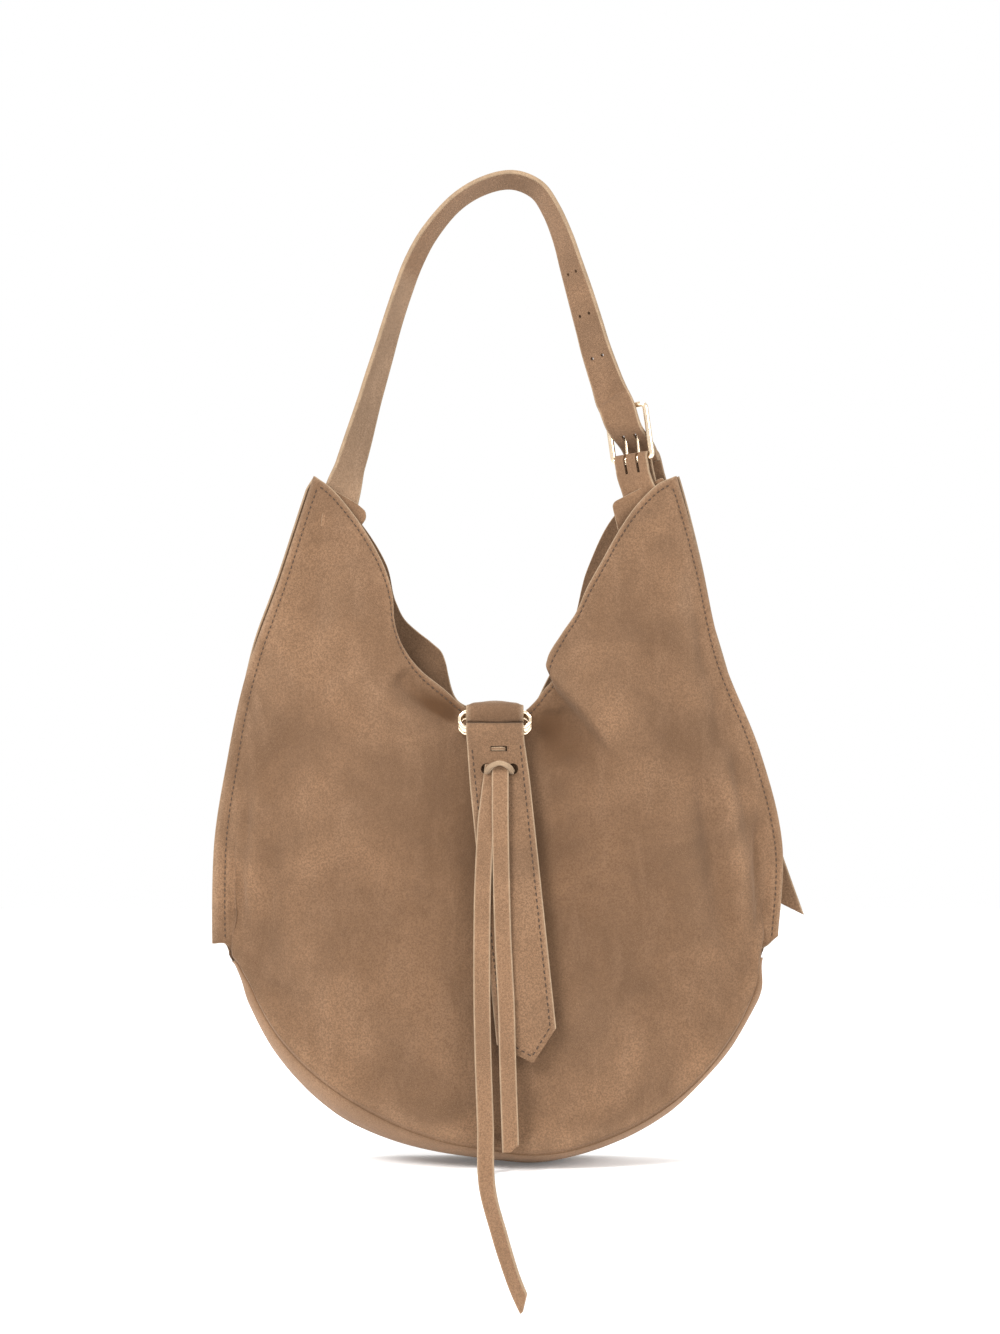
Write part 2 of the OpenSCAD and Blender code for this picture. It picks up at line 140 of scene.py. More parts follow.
def turn(axis, degrees):
    """A rotation matrix about a main axis."""
    c, s = math.cos(math.radians(degrees)), math.sin(math.radians(degrees))
    return np.array(
        {
            "x": [[1, 0, 0], [0, c, -s], [0, s, c]],
            "y": [[c, 0, s], [0, 1, 0], [-s, 0, c]],
            "z": [[c, -s, 0], [s, c, 0], [0, 0, 1]],
        }[axis]
    )


# ---- Camera ----

VIEW_CENTRE = (-8.2, -332.7)
VIEW_HEIGHT = 907
VIEW_DISTANCE = 2400
OBJECT_PLANE = -20


def make_camera():
    data = bpy.data.cameras.new("camera")
    data.sensor_width = 36
    data.lens = 36 * (VIEW_DISTANCE + OBJECT_PLANE) / VIEW_HEIGHT
    data.clip_start, data.clip_end = 0.1, 50
    cam = bpy.data.objects.new("camera", data)
    cam.location = (VIEW_CENTRE[0] / 1000, -VIEW_DISTANCE / 1000, VIEW_CENTRE[1] / 1000)
    cam.rotation_euler = (math.radians(90), 0, 0)
    bpy.context.scene.collection.objects.link(cam)
    bpy.context.scene.camera = cam


make_camera()


# ---- Materials ----


class Nodes:
    """A short way to write a node tree."""

    def __init__(self, name):
        self.mat = bpy.data.materials.new(name)
        self.mat.use_nodes = True
        self.tree = self.mat.node_tree
        self.tree.nodes.clear()
        out = self.new("OutputMaterial")
        self.shader = self.new("BsdfPrincipled")
        self.link(self.shader.outputs[0], out.inputs[0])
        self.rest = self.new("Attribute")
        self.rest.attribute_name = "rest"

    def new(self, kind):
        return self.tree.nodes.new("ShaderNode" + kind)

    def link(self, a, b):
        self.tree.links.new(a, b)

    def set(self, node, values):
        for key, value in values.items():
            socket = node.inputs[key]
            if isinstance(value, bpy.types.NodeSocket):
                self.link(value, socket)
            else:
                socket.default_value = value

    def noise(self, scale, detail=2.0, rough=0.5, distortion=0.0, stretch=None):
        at = self.rest.outputs["Vector"]
        if stretch:
            m = self.new("Mapping")
            m.inputs["Scale"].default_value = stretch
            self.link(at, m.inputs["Vector"])
            at = m.outputs[0]
        n = self.new("TexNoise")
        values = {"Vector": at, "Scale": scale, "Detail": detail, "Roughness": rough}
        self.set(n, {**values, "Distortion": distortion})
        return n.outputs[0]

    def range(self, value, low, high, to_low=0.0, to_high=1.0):
        n = self.new("MapRange")
        self.set(n, {0: value, 1: low, 2: high, 3: to_low, 4: to_high})
        return n.outputs[0]

    def mix(self, share, a, b, blend="MIX"):
        n = self.new("Mix")
        n.data_type = "RGBA"
        n.blend_type = blend
        self.set(n, {0: share, 6: a, 7: b})
        return n.outputs[2]

    def attribute(self, name):
        n = self.new("Attribute")
        n.attribute_name = name
        return n.outputs["Fac"]

    def bump(self, *layers):
        """Bump from (height, strength, distance in metres) layers, coarse ones first."""
        normal = None
        for height, strength, distance in layers:
            n = self.new("Bump")
            self.set(n, {"Height": height, "Strength": strength, "Distance": distance})
            if normal is not None:
                self.link(normal, n.inputs["Normal"])
            normal = n.outputs[0]
        self.link(normal, self.shader.inputs["Normal"])


def shade(colour, factor):
    return tuple(min(1.0, c * factor) for c in colour[:3]) + (1.0,)


def tinted(colour, r, g, b):
    return (colour[0] * r, colour[1] * g, colour[2] * b, 1.0)


TAN = (0.142, 0.0795, 0.0435, 1.0)


def suede(name, tone=1.0, mottle=1.0):
    """Brushed suede: nap that lies different ways in soft patches, a fine grain, paler rubbed places and painted
    highlight from one attribute, and painted shade from another.
    """
    n = Nodes(name)
    base = shade(TAN, tone)
    patches = n.noise(11, 4.0, 0.58, 0.9)
    clouds = n.noise(52, 4.0, 0.6, 0.5)
    brushed = n.noise(60, 3.0, 0.6, 0.4, stretch=(1.0, 1.0, 0.33))
    grain = n.noise(760, 3.0, 0.7)
    pile = n.noise(2300, 2.0, 0.6)
    colour = n.mix(n.range(patches, 0.37, 0.63), shade(base, 1 - 0.3 * mottle), shade(base, 1 + 0.3 * mottle))
    colour = n.mix(n.range(clouds, 0.42, 0.68, 0.0, 0.34 * mottle), colour, shade(base, 0.7))
    colour = n.mix(n.range(brushed, 0.5, 0.72, 0.0, 0.5 * mottle), colour, tinted(base, 1.42, 1.5, 1.62))
    colour = n.mix(n.range(grain, 0.42, 0.58, 0.0, 0.7), colour, shade(base, 0.62))
    colour = n.mix(n.range(pile, 0.5, 0.66, 0.0, 0.45), colour, tinted(base, 1.6, 1.75, 1.95))
    # the paler colour stands for real rubbing at cut edges and for painted highlight on the tops of folds
    worn = n.mix(1.0, colour, (1.7, 2.0, 2.3, 1.0), "MULTIPLY")
    colour = n.mix(n.attribute("wear_and_highlight"), colour, worn)
    # painted shade: darker in stitch grooves, at seams, in fold hollows and where parts lie in shadow
    colour = n.mix(n.attribute("painted_shade"), colour, tinted(base, 0.42, 0.36, 0.29))
    n.set(
        n.shader,
        {
            "Base Color": colour,
            "Roughness": n.range(clouds, 0.3, 0.7, 0.84, 0.98),
            "Specular IOR Level": 0.12,
            "Sheen Weight": 0.22,
            "Sheen Roughness": 0.5,
            "Sheen Tint": (0.78, 0.6, 0.45, 1.0),
        },
    )
    n.bump((clouds, 0.25, 0.0012), (grain, 0.45, 0.0004), (pile, 0.3, 0.00018))
    return n.mat


def cut_edge(name, tone=1.0):
    """The pale cut edge of the leather: short fibres, two plies."""
    n = Nodes(name)
    base = shade((0.25, 0.172, 0.108), tone)
    fibres = n.noise(900, 3.0, 0.65)
    blotch = n.noise(110, 3.0, 0.5)
    colour = n.mix(n.range(blotch, 0.3, 0.7), shade(base, 0.84), shade(base, 1.14))
    colour = n.mix(n.range(fibres, 0.35, 0.65, 0.0, 0.55), colour, shade(base, 0.66))
    # painted shade, the same as on the suede beside the edge
    colour = n.mix(n.attribute("painted_shade"), colour, shade(base, 0.3))
    n.set(
        n.shader,
        {
            "Base Color": colour,
            "Roughness": n.range(fibres, 0.3, 0.7, 0.8, 0.97),
            "Specular IOR Level": 0.15,
            "Sheen Weight": 0.15,
            "Sheen Roughness": 0.5,
            "Sheen Tint": (0.85, 0.72, 0.58, 1.0),
        },
    )
    n.bump((fibres, 0.5, 0.0004))
    return n.mat


def metal(name, colour, rough_low, rough_high):
    """Plated metal with soft worn patches and faint fine scratches."""
    n = Nodes(name)
    cloud = n.noise(140, 3.0, 0.6)
    scratch = n.noise(500, 2.0, 0.5, 0.0, stretch=(0.25, 1.0, 3.0))
    tint = n.mix(n.range(cloud, 0.3, 0.7), shade(colour, 0.95), shade(colour, 1.03))
    n.set(
        n.shader,
        {
            "Base Color": tint,
            "Metallic": 1.0,
            "Roughness": n.range(cloud, 0.3, 0.7, rough_low, rough_high),
        },
    )
    n.bump((scratch, 0.06, 0.00012))
    return n.mat


def thread(name, colour):
    """Twisted sewing thread."""
    n = Nodes(name)
    twist = n.noise(2400, 2.0, 0.5, 0.3)
    tint = n.mix(n.range(twist, 0.35, 0.65), shade(colour, 0.62), shade(colour, 1.25))
    n.set(
        n.shader,
        {
            "Base Color": tint,
            "Roughness": n.range(twist, 0.3, 0.7, 0.55, 0.8),
            "Specular IOR Level": 0.3,
        },
    )
    n.bump((twist, 0.5, 0.0002))
    return n.mat


SUEDE = suede("suede_body")
# the inside faces: the plainer flesh side of the suede, made darker partly as painted shade inside the bag
SUEDE_IN = suede("suede_inside", 0.82, 0.7)
SUEDE_LIGHT = suede("suede_light", 1.12, 0.6)
SUEDE_TONGUE = suede("suede_tongue", 0.98, 0.8)
SUEDE_STRAP = suede("suede_strap", 1.02, 0.8)
SUEDE_GUSSET = suede("suede_gusset", 1.3, 0.5)
SUEDE_TAB = suede("suede_tab", 0.88, 0.8)
# a slightly darker copy of the strap suede: painted shade on the tail that runs down behind the right peak
SUEDE_TAIL = suede("suede_tail", 0.95, 0.7)
EDGE = cut_edge("cut_edge")
EDGE_DARK = cut_edge("cut_edge_worn", 0.82)
GOLD = metal("pale_gold", (0.86, 0.7, 0.51), 0.1, 0.22)
NICKEL = metal("nickel", (0.72, 0.7, 0.66), 0.2, 0.34)
THREAD = thread("thread", (0.045, 0.026, 0.015))


# ---- Meshes ----


def store(me, name, values):
    """Keeps a number for each point, from 0 to 1."""
    v = np.zeros(len(me.vertices)) if values is None else np.clip(np.asarray(values, float).ravel(), 0, 1)
    me.attributes.new(name, "FLOAT", "POINT").data.foreach_set("value", v.astype(np.float32))


def store_rest(me, at):
    """Keeps where each point is at rest, in metres, for the materials."""
    vectors = np.asarray(at, float).astype(np.float32).ravel()
    me.attributes.new("rest", "FLOAT_VECTOR", "POINT").data.foreach_set("vector", vectors)


def mesh(
    name, points, faces, materials, index=None, body=None, nodes=(), sharp=50, values=None, fix=True
):
    """An object from points in mm. values holds a number for each point by attribute name."""
    me = bpy.data.meshes.new(name)
    at = np.asarray(points, float).reshape(-1, 3) / 1000
    me.from_pydata(at.tolist(), [], [list(map(int, f)) for f in faces])
    for m in materials:
        me.materials.append(m)
    if index is not None:
        me.polygons.foreach_set("material_index", np.asarray(index, np.int32))
    store_rest(me, at)
    # the two attributes: paler rubbed places together with painted highlight, and painted shade
    for key in ("wear_and_highlight", "painted_shade"):
        store(me, key, (values or {}).get(key))
    if fix:
        bm = bmesh.new()
        bm.from_mesh(me)
        bmesh.ops.recalc_face_normals(bm, faces=bm.faces)
        bm.to_mesh(me)
        bm.free()
    me.polygons.foreach_set("use_smooth", np.ones(len(me.polygons), bool))
    me.set_sharp_from_angle(angle=math.radians(sharp))
    me.update()
    o = bpy.data.objects.new(name, me)
    bpy.context.scene.collection.objects.link(o)
    if body:
        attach(o, body)
    if nodes:
        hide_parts(*nodes)
    return o


def grid_faces(rows, cols, start=0, loop=False, closed=False):
    """Faces of a grid of points; loop joins its sides, closed joins its last row to its first."""
    ids = start + np.arange(rows * cols).reshape(rows, cols)
    if closed:
        ids = np.concatenate([ids, ids[:1]])
    if loop:
        ids = np.concatenate([ids, ids[:, :1]], 1)
    return np.stack([ids[:-1, :-1], ids[:-1, 1:], ids[1:, 1:], ids[1:, :-1]], -1).reshape(-1, 4)


def grid_border(rows, cols):
    """The ids round a grid, in order."""
    ids = np.arange(rows * cols).reshape(rows, cols)
    return np.concatenate([ids[0, :-1], ids[:-1, -1], ids[-1, :0:-1], ids[:0:-1, 0]])


def end_faces(rings, sides):
    """The flat ends of a rod made of rings."""
    return [list(range(sides)), [rings * sides - 1 - k for k in range(sides)]]


def joined(parts):
    """One set of points and faces from several."""
    points, faces, start = [], [], 0
    for p, f in parts:
        points.append(p)
        faces += [[i + start for i in face] for face in f]
        start += len(p)
    return np.concatenate(points), faces


class Path:
    """A strip's middle line with its across and face directions, found by the distance along it."""

    def __init__(self, points, across, samples=1500):
        s = np.linspace(0, 1, samples)
        p = curve(points, s)
        ahead = unit(np.gradient(p, axis=0))
        w = across(s, p, ahead)
        w = unit(w - (w * ahead).sum(1, keepdims=True) * ahead)
        self.d, self.p, self.w = distances(p), p, w
        self.face = unit(np.cross(w, ahead))
        self.length = self.d[-1]

    def look(self, table, d):
        d = np.asarray(d, float)
        return np.stack([np.interp(d, self.d, table[:, k]) for k in range(3)], -1)

    def at(self, d, a=0.0, b=0.0):
        """The point at distance d, a mm across and b mm out of the face."""
        across = unit(self.look(self.w, d)) * np.asarray(a)[..., None]
        return self.look(self.p, d) + across + self.facing(d) * np.asarray(b)[..., None]

    def facing(self, d):
        return unit(self.look(self.face, d))

    def along(self, point):
        """The distance along the path that is nearest to a point."""
        return self.d[np.argmin(np.linalg.norm(self.p - np.asarray(point, float), axis=1))]


def always(direction):
    """For a Path: the same across direction all along."""
    return lambda s, p, ahead: np.tile(np.array(direction, float), (len(p), 1))


def faced(ahead, degrees):
    """Across directions of a strip that hangs with its face to the front, turned about its length."""
    flat = unit(np.cross(ahead, np.array([0.0, -1.0, 0.0])))
    front = np.cross(flat, ahead)
    a = np.radians(degrees)[:, None]
    return np.cos(a) * flat - np.sin(a) * front


SIDE_POINTS = 9


def strip_profile(w, t, cols, groove, crown):
    """The outline of a strip's section and which of it is cut edge: softly rounded, with a line between the plies."""
    r = 0.42 * t
    a = np.linspace(-w / 2 + r, w / 2 - r, cols)
    b = t / 2 + crown * (1 - (2 * a / w) ** 2)
    angle = np.linspace(82, -82, SIDE_POINTS) * math.pi / 180
    side_b = t / 2 * np.sign(np.sin(angle)) * np.abs(np.sin(angle)) ** 0.8
    side_a = w / 2 - r + r * np.abs(np.cos(angle)) ** 0.55 - groove * bell(side_b, 0, 0.12 * t)
    outline = np.concatenate(
        [
            np.stack([a, b], 1),
            np.stack([side_a, side_b], 1),
            np.stack([a[::-1], -b[::-1]], 1),
            np.stack([-side_a[::-1], side_b[::-1]], 1),
        ]
    )
    n = len(a)
    edge = np.zeros(len(outline), int)
    edge[n - 1 : n + SIDE_POINTS] = 1
    edge[2 * n + SIDE_POINTS - 1 :] = 1
    return outline, edge


CUT_REACH = 40


def strip(
    name, path, w, t, materials, body=None, nodes=(), step=1.6, cols=15, end_cut=None, start_cut=None, width=None,
    crown=0.0, lift=None, groove=0.16, tone=None, pale=None,
):
    """A flat strip along a path. Its shape and looks change by functions of the distance d along and a mm across.

    end_cut(a) and start_cut(a) say how much shorter it is, width(d) how much wider, lift(d, a) how far it moves
    out of its face, pale(d, a) how worn it is and tone(d, a) how much painted shade it gets.
    """
    outline, edge = strip_profile(w, t, cols, groove, crown)
    end = path.length
    rows = max(3, int(end / step) + 1)
    d = np.linspace(0, end, rows)[:, None] + 0 * outline[None, :, 0]
    a = outline[None, :, 0] + 0 * d
    b = outline[None, :, 1] + 0 * d
    if end_cut is not None:
        d = d - end_cut(a) * smooth((d - (end - CUT_REACH)) / CUT_REACH)
    if start_cut is not None:
        d = d + start_cut(a) * smooth((CUT_REACH - d) / CUT_REACH)
    if width is not None:
        a = a * width(d)
    if lift is not None:
        b = b + lift(d, a)
    points = path.at(d, a, b)
    n = len(outline)
    faces = grid_faces(rows, n, loop=True).tolist()
    caps = []
    for row, beside in ((0, 1), (rows - 1, rows - 2)):
        ring = points[row]
        middle = ring.mean(0)
        ahead = unit(ring - points[beside]).mean(0)
        base = (rows + len(caps)) * n
        caps.append(middle + (ring - middle) * 0.9 + ahead * 0.25)
        faces += [[row * n + i, row * n + (i + 1) % n, base + (i + 1) % n, base + i] for i in range(n)]
        faces.append([base + i for i in range(n)])
    index = np.concatenate([np.tile(edge, rows - 1), np.ones(2 * n + 2, int)])
    with_caps = lambda g: np.concatenate([g.ravel(), np.zeros(2 * n)])
    values = {"wear_and_highlight": smooth((np.abs(with_caps(a)) - (w / 2 - 2.2)) / 2.2) * 0.28}
    if pale is not None:
        values["wear_and_highlight"] = values["wear_and_highlight"] + with_caps(pale(d, a))
    if tone is not None:
        # tone is painted shade
        values["painted_shade"] = with_caps(tone(d, a))
    points = np.concatenate([points.reshape(-1, 3)] + caps)
    return mesh(name, points, faces, materials, index, body, nodes, values=values)


def capsule(length, radius, sides=6):
    """One stitch along x, its ends bent down into the leather."""
    x = np.array([-0.5, -0.46, -0.3, 0.0, 0.3, 0.46, 0.5]) * length
    z = np.array([-1.5, -0.5, 0.15, 0.3, 0.15, -0.5, -1.5]) * radius
    r = np.array([0.55, 0.95, 1.0, 1.0, 1.0, 0.95, 0.55]) * radius
    a = np.arange(sides) * 2 * math.pi / sides
    p = np.stack(
        [
            np.repeat(x, sides),
            np.tile(np.cos(a), len(x)) * np.repeat(r, sides),
            np.tile(np.sin(a), len(x)) * np.repeat(r, sides) * 0.8 + np.repeat(z, sides),
        ],
        1,
    )
    return p, grid_faces(len(x), sides, loop=True).tolist() + end_faces(len(x), sides)


THREAD_R = 0.42


def sewn(line, normals, pitch, length, sink=0.0):
    """Stitches along a line of points in mm, as points and faces."""
    line, normals = np.asarray(line, float), np.asarray(normals, float)
    along = distances(line)
    count = max(1, int(along[-1] / pitch))
    at = (np.arange(count) + 0.5) * along[-1] / count
    look = lambda table, d: np.stack([np.interp(d, along, table[:, k]) for k in range(3)], -1)
    shape, faces = capsule(length, THREAD_R)
    parts = []
    for k, d in enumerate(at):
        x = unit(look(line, d + pitch / 3) - look(line, d - pitch / 3))
        z = unit(look(normals, d))
        z = unit(z - x * (z @ x))
        y = np.cross(z, x)
        slant = 0.06 * math.sin(2.4 * k)
        c, s = math.cos(slant), math.sin(slant)
        x, y = x * c + y * s, y * c - x * s
        parts.append((look(line, d) - z * sink + shape @ np.stack([x, y, z]), faces))
    return parts


def stitch_object(name, parts, body):
    points, faces = joined(parts)
    mesh(name, points, faces, [THREAD], body=body, fix=False, sharp=80)


# ---- The laced thong: its two hanging ends are free cords ----

THONG_W, THONG_T = 11.5, 2.2
SHORT_ROUTE = [
    [-8, -37.6, -399], [-8, -39.2, -408], [-8, -42.2, -424], [-7.9, -45.4, -440], [-7.2, -50.3, -480],
    [-6, -52.6, -520], [-4, -53, -560], [-3, -53, -600], [-2, -53, -630], [-1, -53, -658],
]
LONG_ROUTE = [
    [-13, -35.2, -399], [-14, -36.5, -408], [-16, -39.4, -424], [-17.8, -42.9, -440], [-19.8, -49.3, -480],
    [-20.4, -52.6, -520], [-20.3, -53, -560], [-19.4, -53, -600], [-18, -53, -640], [-17, -53, -680],
    [-9, -53, -712], [1, -53, -744], [10, -53, -765],
]


def make_thong(name, route, node, body, twist, cut):
    """One end of the thong, turned by twist(share along) degrees and cut off slanting."""
    path = Path(route, lambda s, p, ahead: faced(ahead, twist(s)))
    wave = lambda d, a: 0.25 * np.sin(d / 23.0 + a * 0.12) + 0.18 * np.sin(d / 7.3 + 1.7) * (a / 6)
    o = strip(
        name, path, THONG_W, THONG_T, [SUEDE_LIGHT, EDGE], body, [node],
        end_cut=cut, crown=-0.12, lift=wave, step=1.5, cols=11,
    )
    line = path.look(path.p, np.linspace(0, path.length, 60)) / 1000
    round(float(distances(line)[-1]), 3)


make_thong(
    "thong_short_end", SHORT_ROUTE, "thong_short", "thong_tail_short",
    lambda s: 4 * np.sin(5 * s), lambda a: (a + THONG_W / 2) * -0.9 + 5,
)
make_thong(
    "thong_long_end", LONG_ROUTE, "thong_long", "thong_tail_long",
    lambda s: 30 * (1 - smooth(s / 0.2)) + 5 * np.sin(7 * s) + 26 * smooth((s - 0.62) / 0.2), lambda a: 5 - a * 1.15,
)


# ---- Body: the same outlines as the CAD part ----

BODY_W, BODY_H, BODY_D, MOUTH_D = 386, 464, 84, 50
SUEDE_T, BELLY = 2.0, 16
PEAK_Z = -202
NOTCH_Z = PEAK_Z - 315
BOTTOM_Z = PEAK_Z - BODY_H
MID_X = -7
WING_D = SUEDE_T + 0.3
CLOSURE_X = -11.7
PANEL_W, PANEL_H = 370, 290
STITCH_IN = 5.4
SIDE_NAME = {FRONT: "front", BACK: "back"}
NOTCH_STEP = 0.035
LEFT_WING = [[-136, -202], [-158, -265], [-180, -328], [-194, -391], [-202, -454], [-204, -517]]
RIGHT_WING = [[110, -202], [129, -265], [145, -328], [170, -391], [185, -454], [182, -517]]
FRONT_RIM = [
    [-136, -202], [-108, -231], [-88, -265], [-81, -300], [-66, -332], [-36, -361], [4, -367], [25, -338],
    [33, -308], [54, -270], [78, -229], [110, -202],
]
BACK_RIM = [
    [-136, -202], [-108, -230], [-88, -262], [-80, -293], [-57, -321], [-37, -359], [3, -365], [24, -336],
    [39, -302], [49, -264], [70, -225], [110, -202],
]
ARC_RX = BODY_W / 2 - 16
ARC_RZ = NOTCH_Z - 8 - BOTTOM_Z

# The rims' small turns. On the front: the soft corner where one fold lies over the next, right of the ring
FRONT_EDGE = [
    [-136, -202], [-123, -212], [-109.5, -228], [-97, -247], [-87, -267], [-82, -285], [-81, -300], [-76, -317],
    [-64, -334], [-48, -347], [-32, -361], [-12, -365], [6, -363.5], [13, -357], [20, -347], [25, -340],
    [22.3, -335], [22.2, -328], [32, -310], [42, -295], [49, -279], [59, -261], [72, -238], [84, -221], [96, -209],
    [110, -202],
]
BACK_EDGE = [
    [-136, -202], [-108, -230], [-88, -262], [-81, -289], [-75.5, -300], [-66, -309], [-56.5, -316.5],
    [-50, -322.5], [-46.8, -330], [-45, -339.5], [-40, -355], [-12, -363], [3, -364.5], [24, -336], [39, -302],
    [49, -264], [70, -225], [110, -202],
]


def arc_angle(u):
    return 180 + 180 * np.clip((u - NOTCH_STEP) / (1 - 2 * NOTCH_STEP), 0, 1)


# Where the sewn edge leaves the plain arc: the eased corners by the two notches, as (share along, right, up) in mm
EDGE_EASE = np.array(
    [
        [0, 1, -5], [0.012, -0.9, -1.8], [0.024, -5.8, -1.8], [NOTCH_STEP, -11, -3], [0.06, -7.6, -1.4],
        [0.09, -3, 0], [0.12, -1.2, 0], [0.17, 0, 0], [0.43, 0, 0.2], [0.485, 0, 0.9], [0.53, 0, -1.3],
        [0.57, 0, -1.9], [0.61, 0, -1.0], [0.67, 0, 0], [0.83, 0, 0], [0.88, 2, 0], [0.91, 3.7, 0], [0.94, 3, 0],
        [1 - NOTCH_STEP, 4, 0], [1, 0, 0],
    ],
    float,
)


def eased(u):
    return through(EDGE_EASE[:, 1:], EDGE_EASE[:, 0], np.asarray(u, float))


def seam_arc(side, u):
    """The sewn edge's plain arc, pulled in a little where the photo's outline is."""
    a = np.radians(arc_angle(u))
    if side == FRONT:
        inset = 3 + 9 * bell(u, 0.33, 0.17)
    else:
        inset = 1 - 5 * bell(u, 0.31, 0.12) - 2 * bell(u, 0.62, 0.1)
    return np.stack([MID_X + (ARC_RX - inset) * np.cos(a), NOTCH_Z - 8 + (ARC_RZ - inset) * np.sin(a)], -1)


def lower_edge(side, u):
    """A panel's lower edge: the sewn arc, and a short step to it from the end of each wing."""

    def step(wing, arc_end, share):
        arc = seam_arc(side, np.full_like(u, arc_end))
        return lerp(np.array(wing[-1], float), arc, np.clip(share / NOTCH_STEP, 0, 1)[..., None])

    left, right = step(LEFT_WING, NOTCH_STEP, u), step(RIGHT_WING, 1 - NOTCH_STEP, 1 - u)
    edge = np.where((u > 1 - NOTCH_STEP)[..., None], right, seam_arc(side, u))
    return np.where((u < NOTCH_STEP)[..., None], left, edge) + eased(u)


def half_wave(t, power):
    return np.maximum(0, np.sin(math.pi * np.clip(t, 0, 1))) ** power


def rim_depth(u):
    return lerp(WING_D, MOUTH_D / 2, half_wave(u, 0.7)) - (MOUTH_D / 2 - 15) * bell(u, 0.5, 0.22)


def arc_depth(u):
    return lerp(WING_D, BODY_D / 2, np.maximum(0, -np.sin(np.radians(arc_angle(u)))) ** 0.8)


def at_depth(side, xz, depth):
    return np.stack([xz[..., 0], side * (depth + 0 * xz[..., 0]), xz[..., 1]], -1)


def panel_base(side, u, v):
    """The CAD panel's outer surface."""
    u, v = np.broadcast_arrays(np.asarray(u, float), np.asarray(v, float))
    left, right = curve(LEFT_WING, v), curve(RIGHT_WING, v)
    left[..., 0] += 1.8 * bell(v, 0.26, 0.16) - 2 * smooth((v - 0.6) / 0.2)
    right[..., 0] += (2.8 if side == FRONT else 4.8) * bell(v, 0.02, 0.19)
    left += eased(0 * v) * (v**8)[..., None]
    right += eased(0 * v + 1) * (v**8)[..., None]
    lw, rw = at_depth(side, left, WING_D), at_depth(side, right, WING_D)
    rim = at_depth(side, curve(FRONT_RIM if side == FRONT else BACK_RIM, u), rim_depth(u))
    low_edge = lower_edge(side, u)
    low_edge[..., 0] -= 2 * (1 - smooth(u / 0.02))
    low = at_depth(side, low_edge, arc_depth(u))
    corner = lambda w, k, more: at_depth(side, np.array(w[k], float) + more, WING_D)
    U, V = u[..., None], v[..., None]
    low_left, low_right = EDGE_EASE[0, 1:] + [-2, 0], EDGE_EASE[-1, 1:]
    top = lerp(corner(LEFT_WING, 0, 0), corner(RIGHT_WING, 0, 0), U)
    corners = lerp(top, lerp(corner(LEFT_WING, 5, low_left), corner(RIGHT_WING, 5, low_right), U), V)
    swell = BELLY * half_wave(u, 1.5) * half_wave(v**0.9, 1.5)
    p = lerp(lw, rw, U) + lerp(rim, low, V) - corners
    p[..., 1] += side * swell
    return p


def inward(p, side):
    """Unit normals of a grid of points, into the bag."""
    du, dv = np.gradient(p, axis=1), np.gradient(p, axis=0)
    return unit(side * np.cross(dv, du))


def along_rim(points, rim):
    """For control points near a CAD rim, where along that rim each one is."""
    fine = curve(rim, np.linspace(0, 1, 2001))
    at = np.array([np.argmin(np.linalg.norm(fine - p, axis=1)) for p in np.asarray(points, float)]) / 2000
    for k in range(1, len(at)):
        at[k] = max(at[k], at[k - 1] + 0.006)
    at[0], at[-1] = 0, 1
    return at


def ridge(x, z, start, end, w0, w1):
    """1 along a line that widens from w0 to w1, fading at its ends; and the signed side that a point is on."""
    s, e = np.array(start, float), np.array(end, float)
    d = e - s
    length = np.linalg.norm(d)
    d = d / length
    t = ((x - s[0]) * d[0] + (z - s[1]) * d[1]) / length
    off = (x - s[0]) * d[1] - (z - s[1]) * d[0]
    w = lerp(w0, w1, np.clip(t, 0, 1))
    fade = smooth((t + 0.12) / 0.2) * smooth((1.12 - t) / 0.35)
    return bell(off, 0, w) * fade, off, fade


# Soft folds: how far each stands out in mm, its two ends (x, z), and its half widths there
FRONT_FOLDS = (
    # by the ring, and along the rim left of it
    (-3.0, 28, -362, 34, -398, 13, 16), (-2.6, -74, -338, -38, -372, 9, 11), (2.0, -112, -338, -44, -388, 12, 15),
    (-1.8, -40, -385, -44, -470, 10, 22),
    # by the right wing
    (1.5, 112, -268, 132, -372, 7, 10.5), (-1.6, 131, -300, 158, -430, 7, 10.5), (-1.3, 100, -310, 120, -420, 12, 18),
    (2.6, 146, -392, 163, -505, 6, 9), (-2.2, 131, -410, 148, -520, 7, 10.5), (1.2, 116, -430, 136, -540, 10, 15),
    (-1.3, 169, -440, 173, -512, 4, 6),
    # by the left wing, and two creases above its notch
    (-1.2, -130, -225, -152, -330, 9, 13.5), (1.5, -112, -262, -150, -372, 12, 18),
    (-1.4, -128, -330, -172, -430, 12, 18), (1.3, -150, -300, -182, -392, 9, 13.5),
    (-1.2, -183, -430, -189, -515, 4, 6), (1.4, -176, -420, -181, -512, 5, 7.5), (-1.2, -166, -436, -172, -540, 8, 12),
    # broad dents low on the belly
    (-2.2, -120, -470, -60, -560, 26, 34), (1.5, -150, -520, -95, -600, 20, 26), (-2.0, 60, -440, 110, -580, 24, 34),
    (1.4, 40, -560, 90, -620, 18, 22),
)
BACK_FOLDS = (
    (-2.2, -60, -330, -100, -480, 16, 30), (2.0, -95, -300, -150, -470, 13, 24), (-2.4, 30, -400, 80, -560, 20, 34),
    (1.8, -40, -470, -90, -600, 22, 32), (1.4, 60, -300, 84, -420, 12, 20), (-1.5, -150, -330, -182, -480, 8, 12),
)


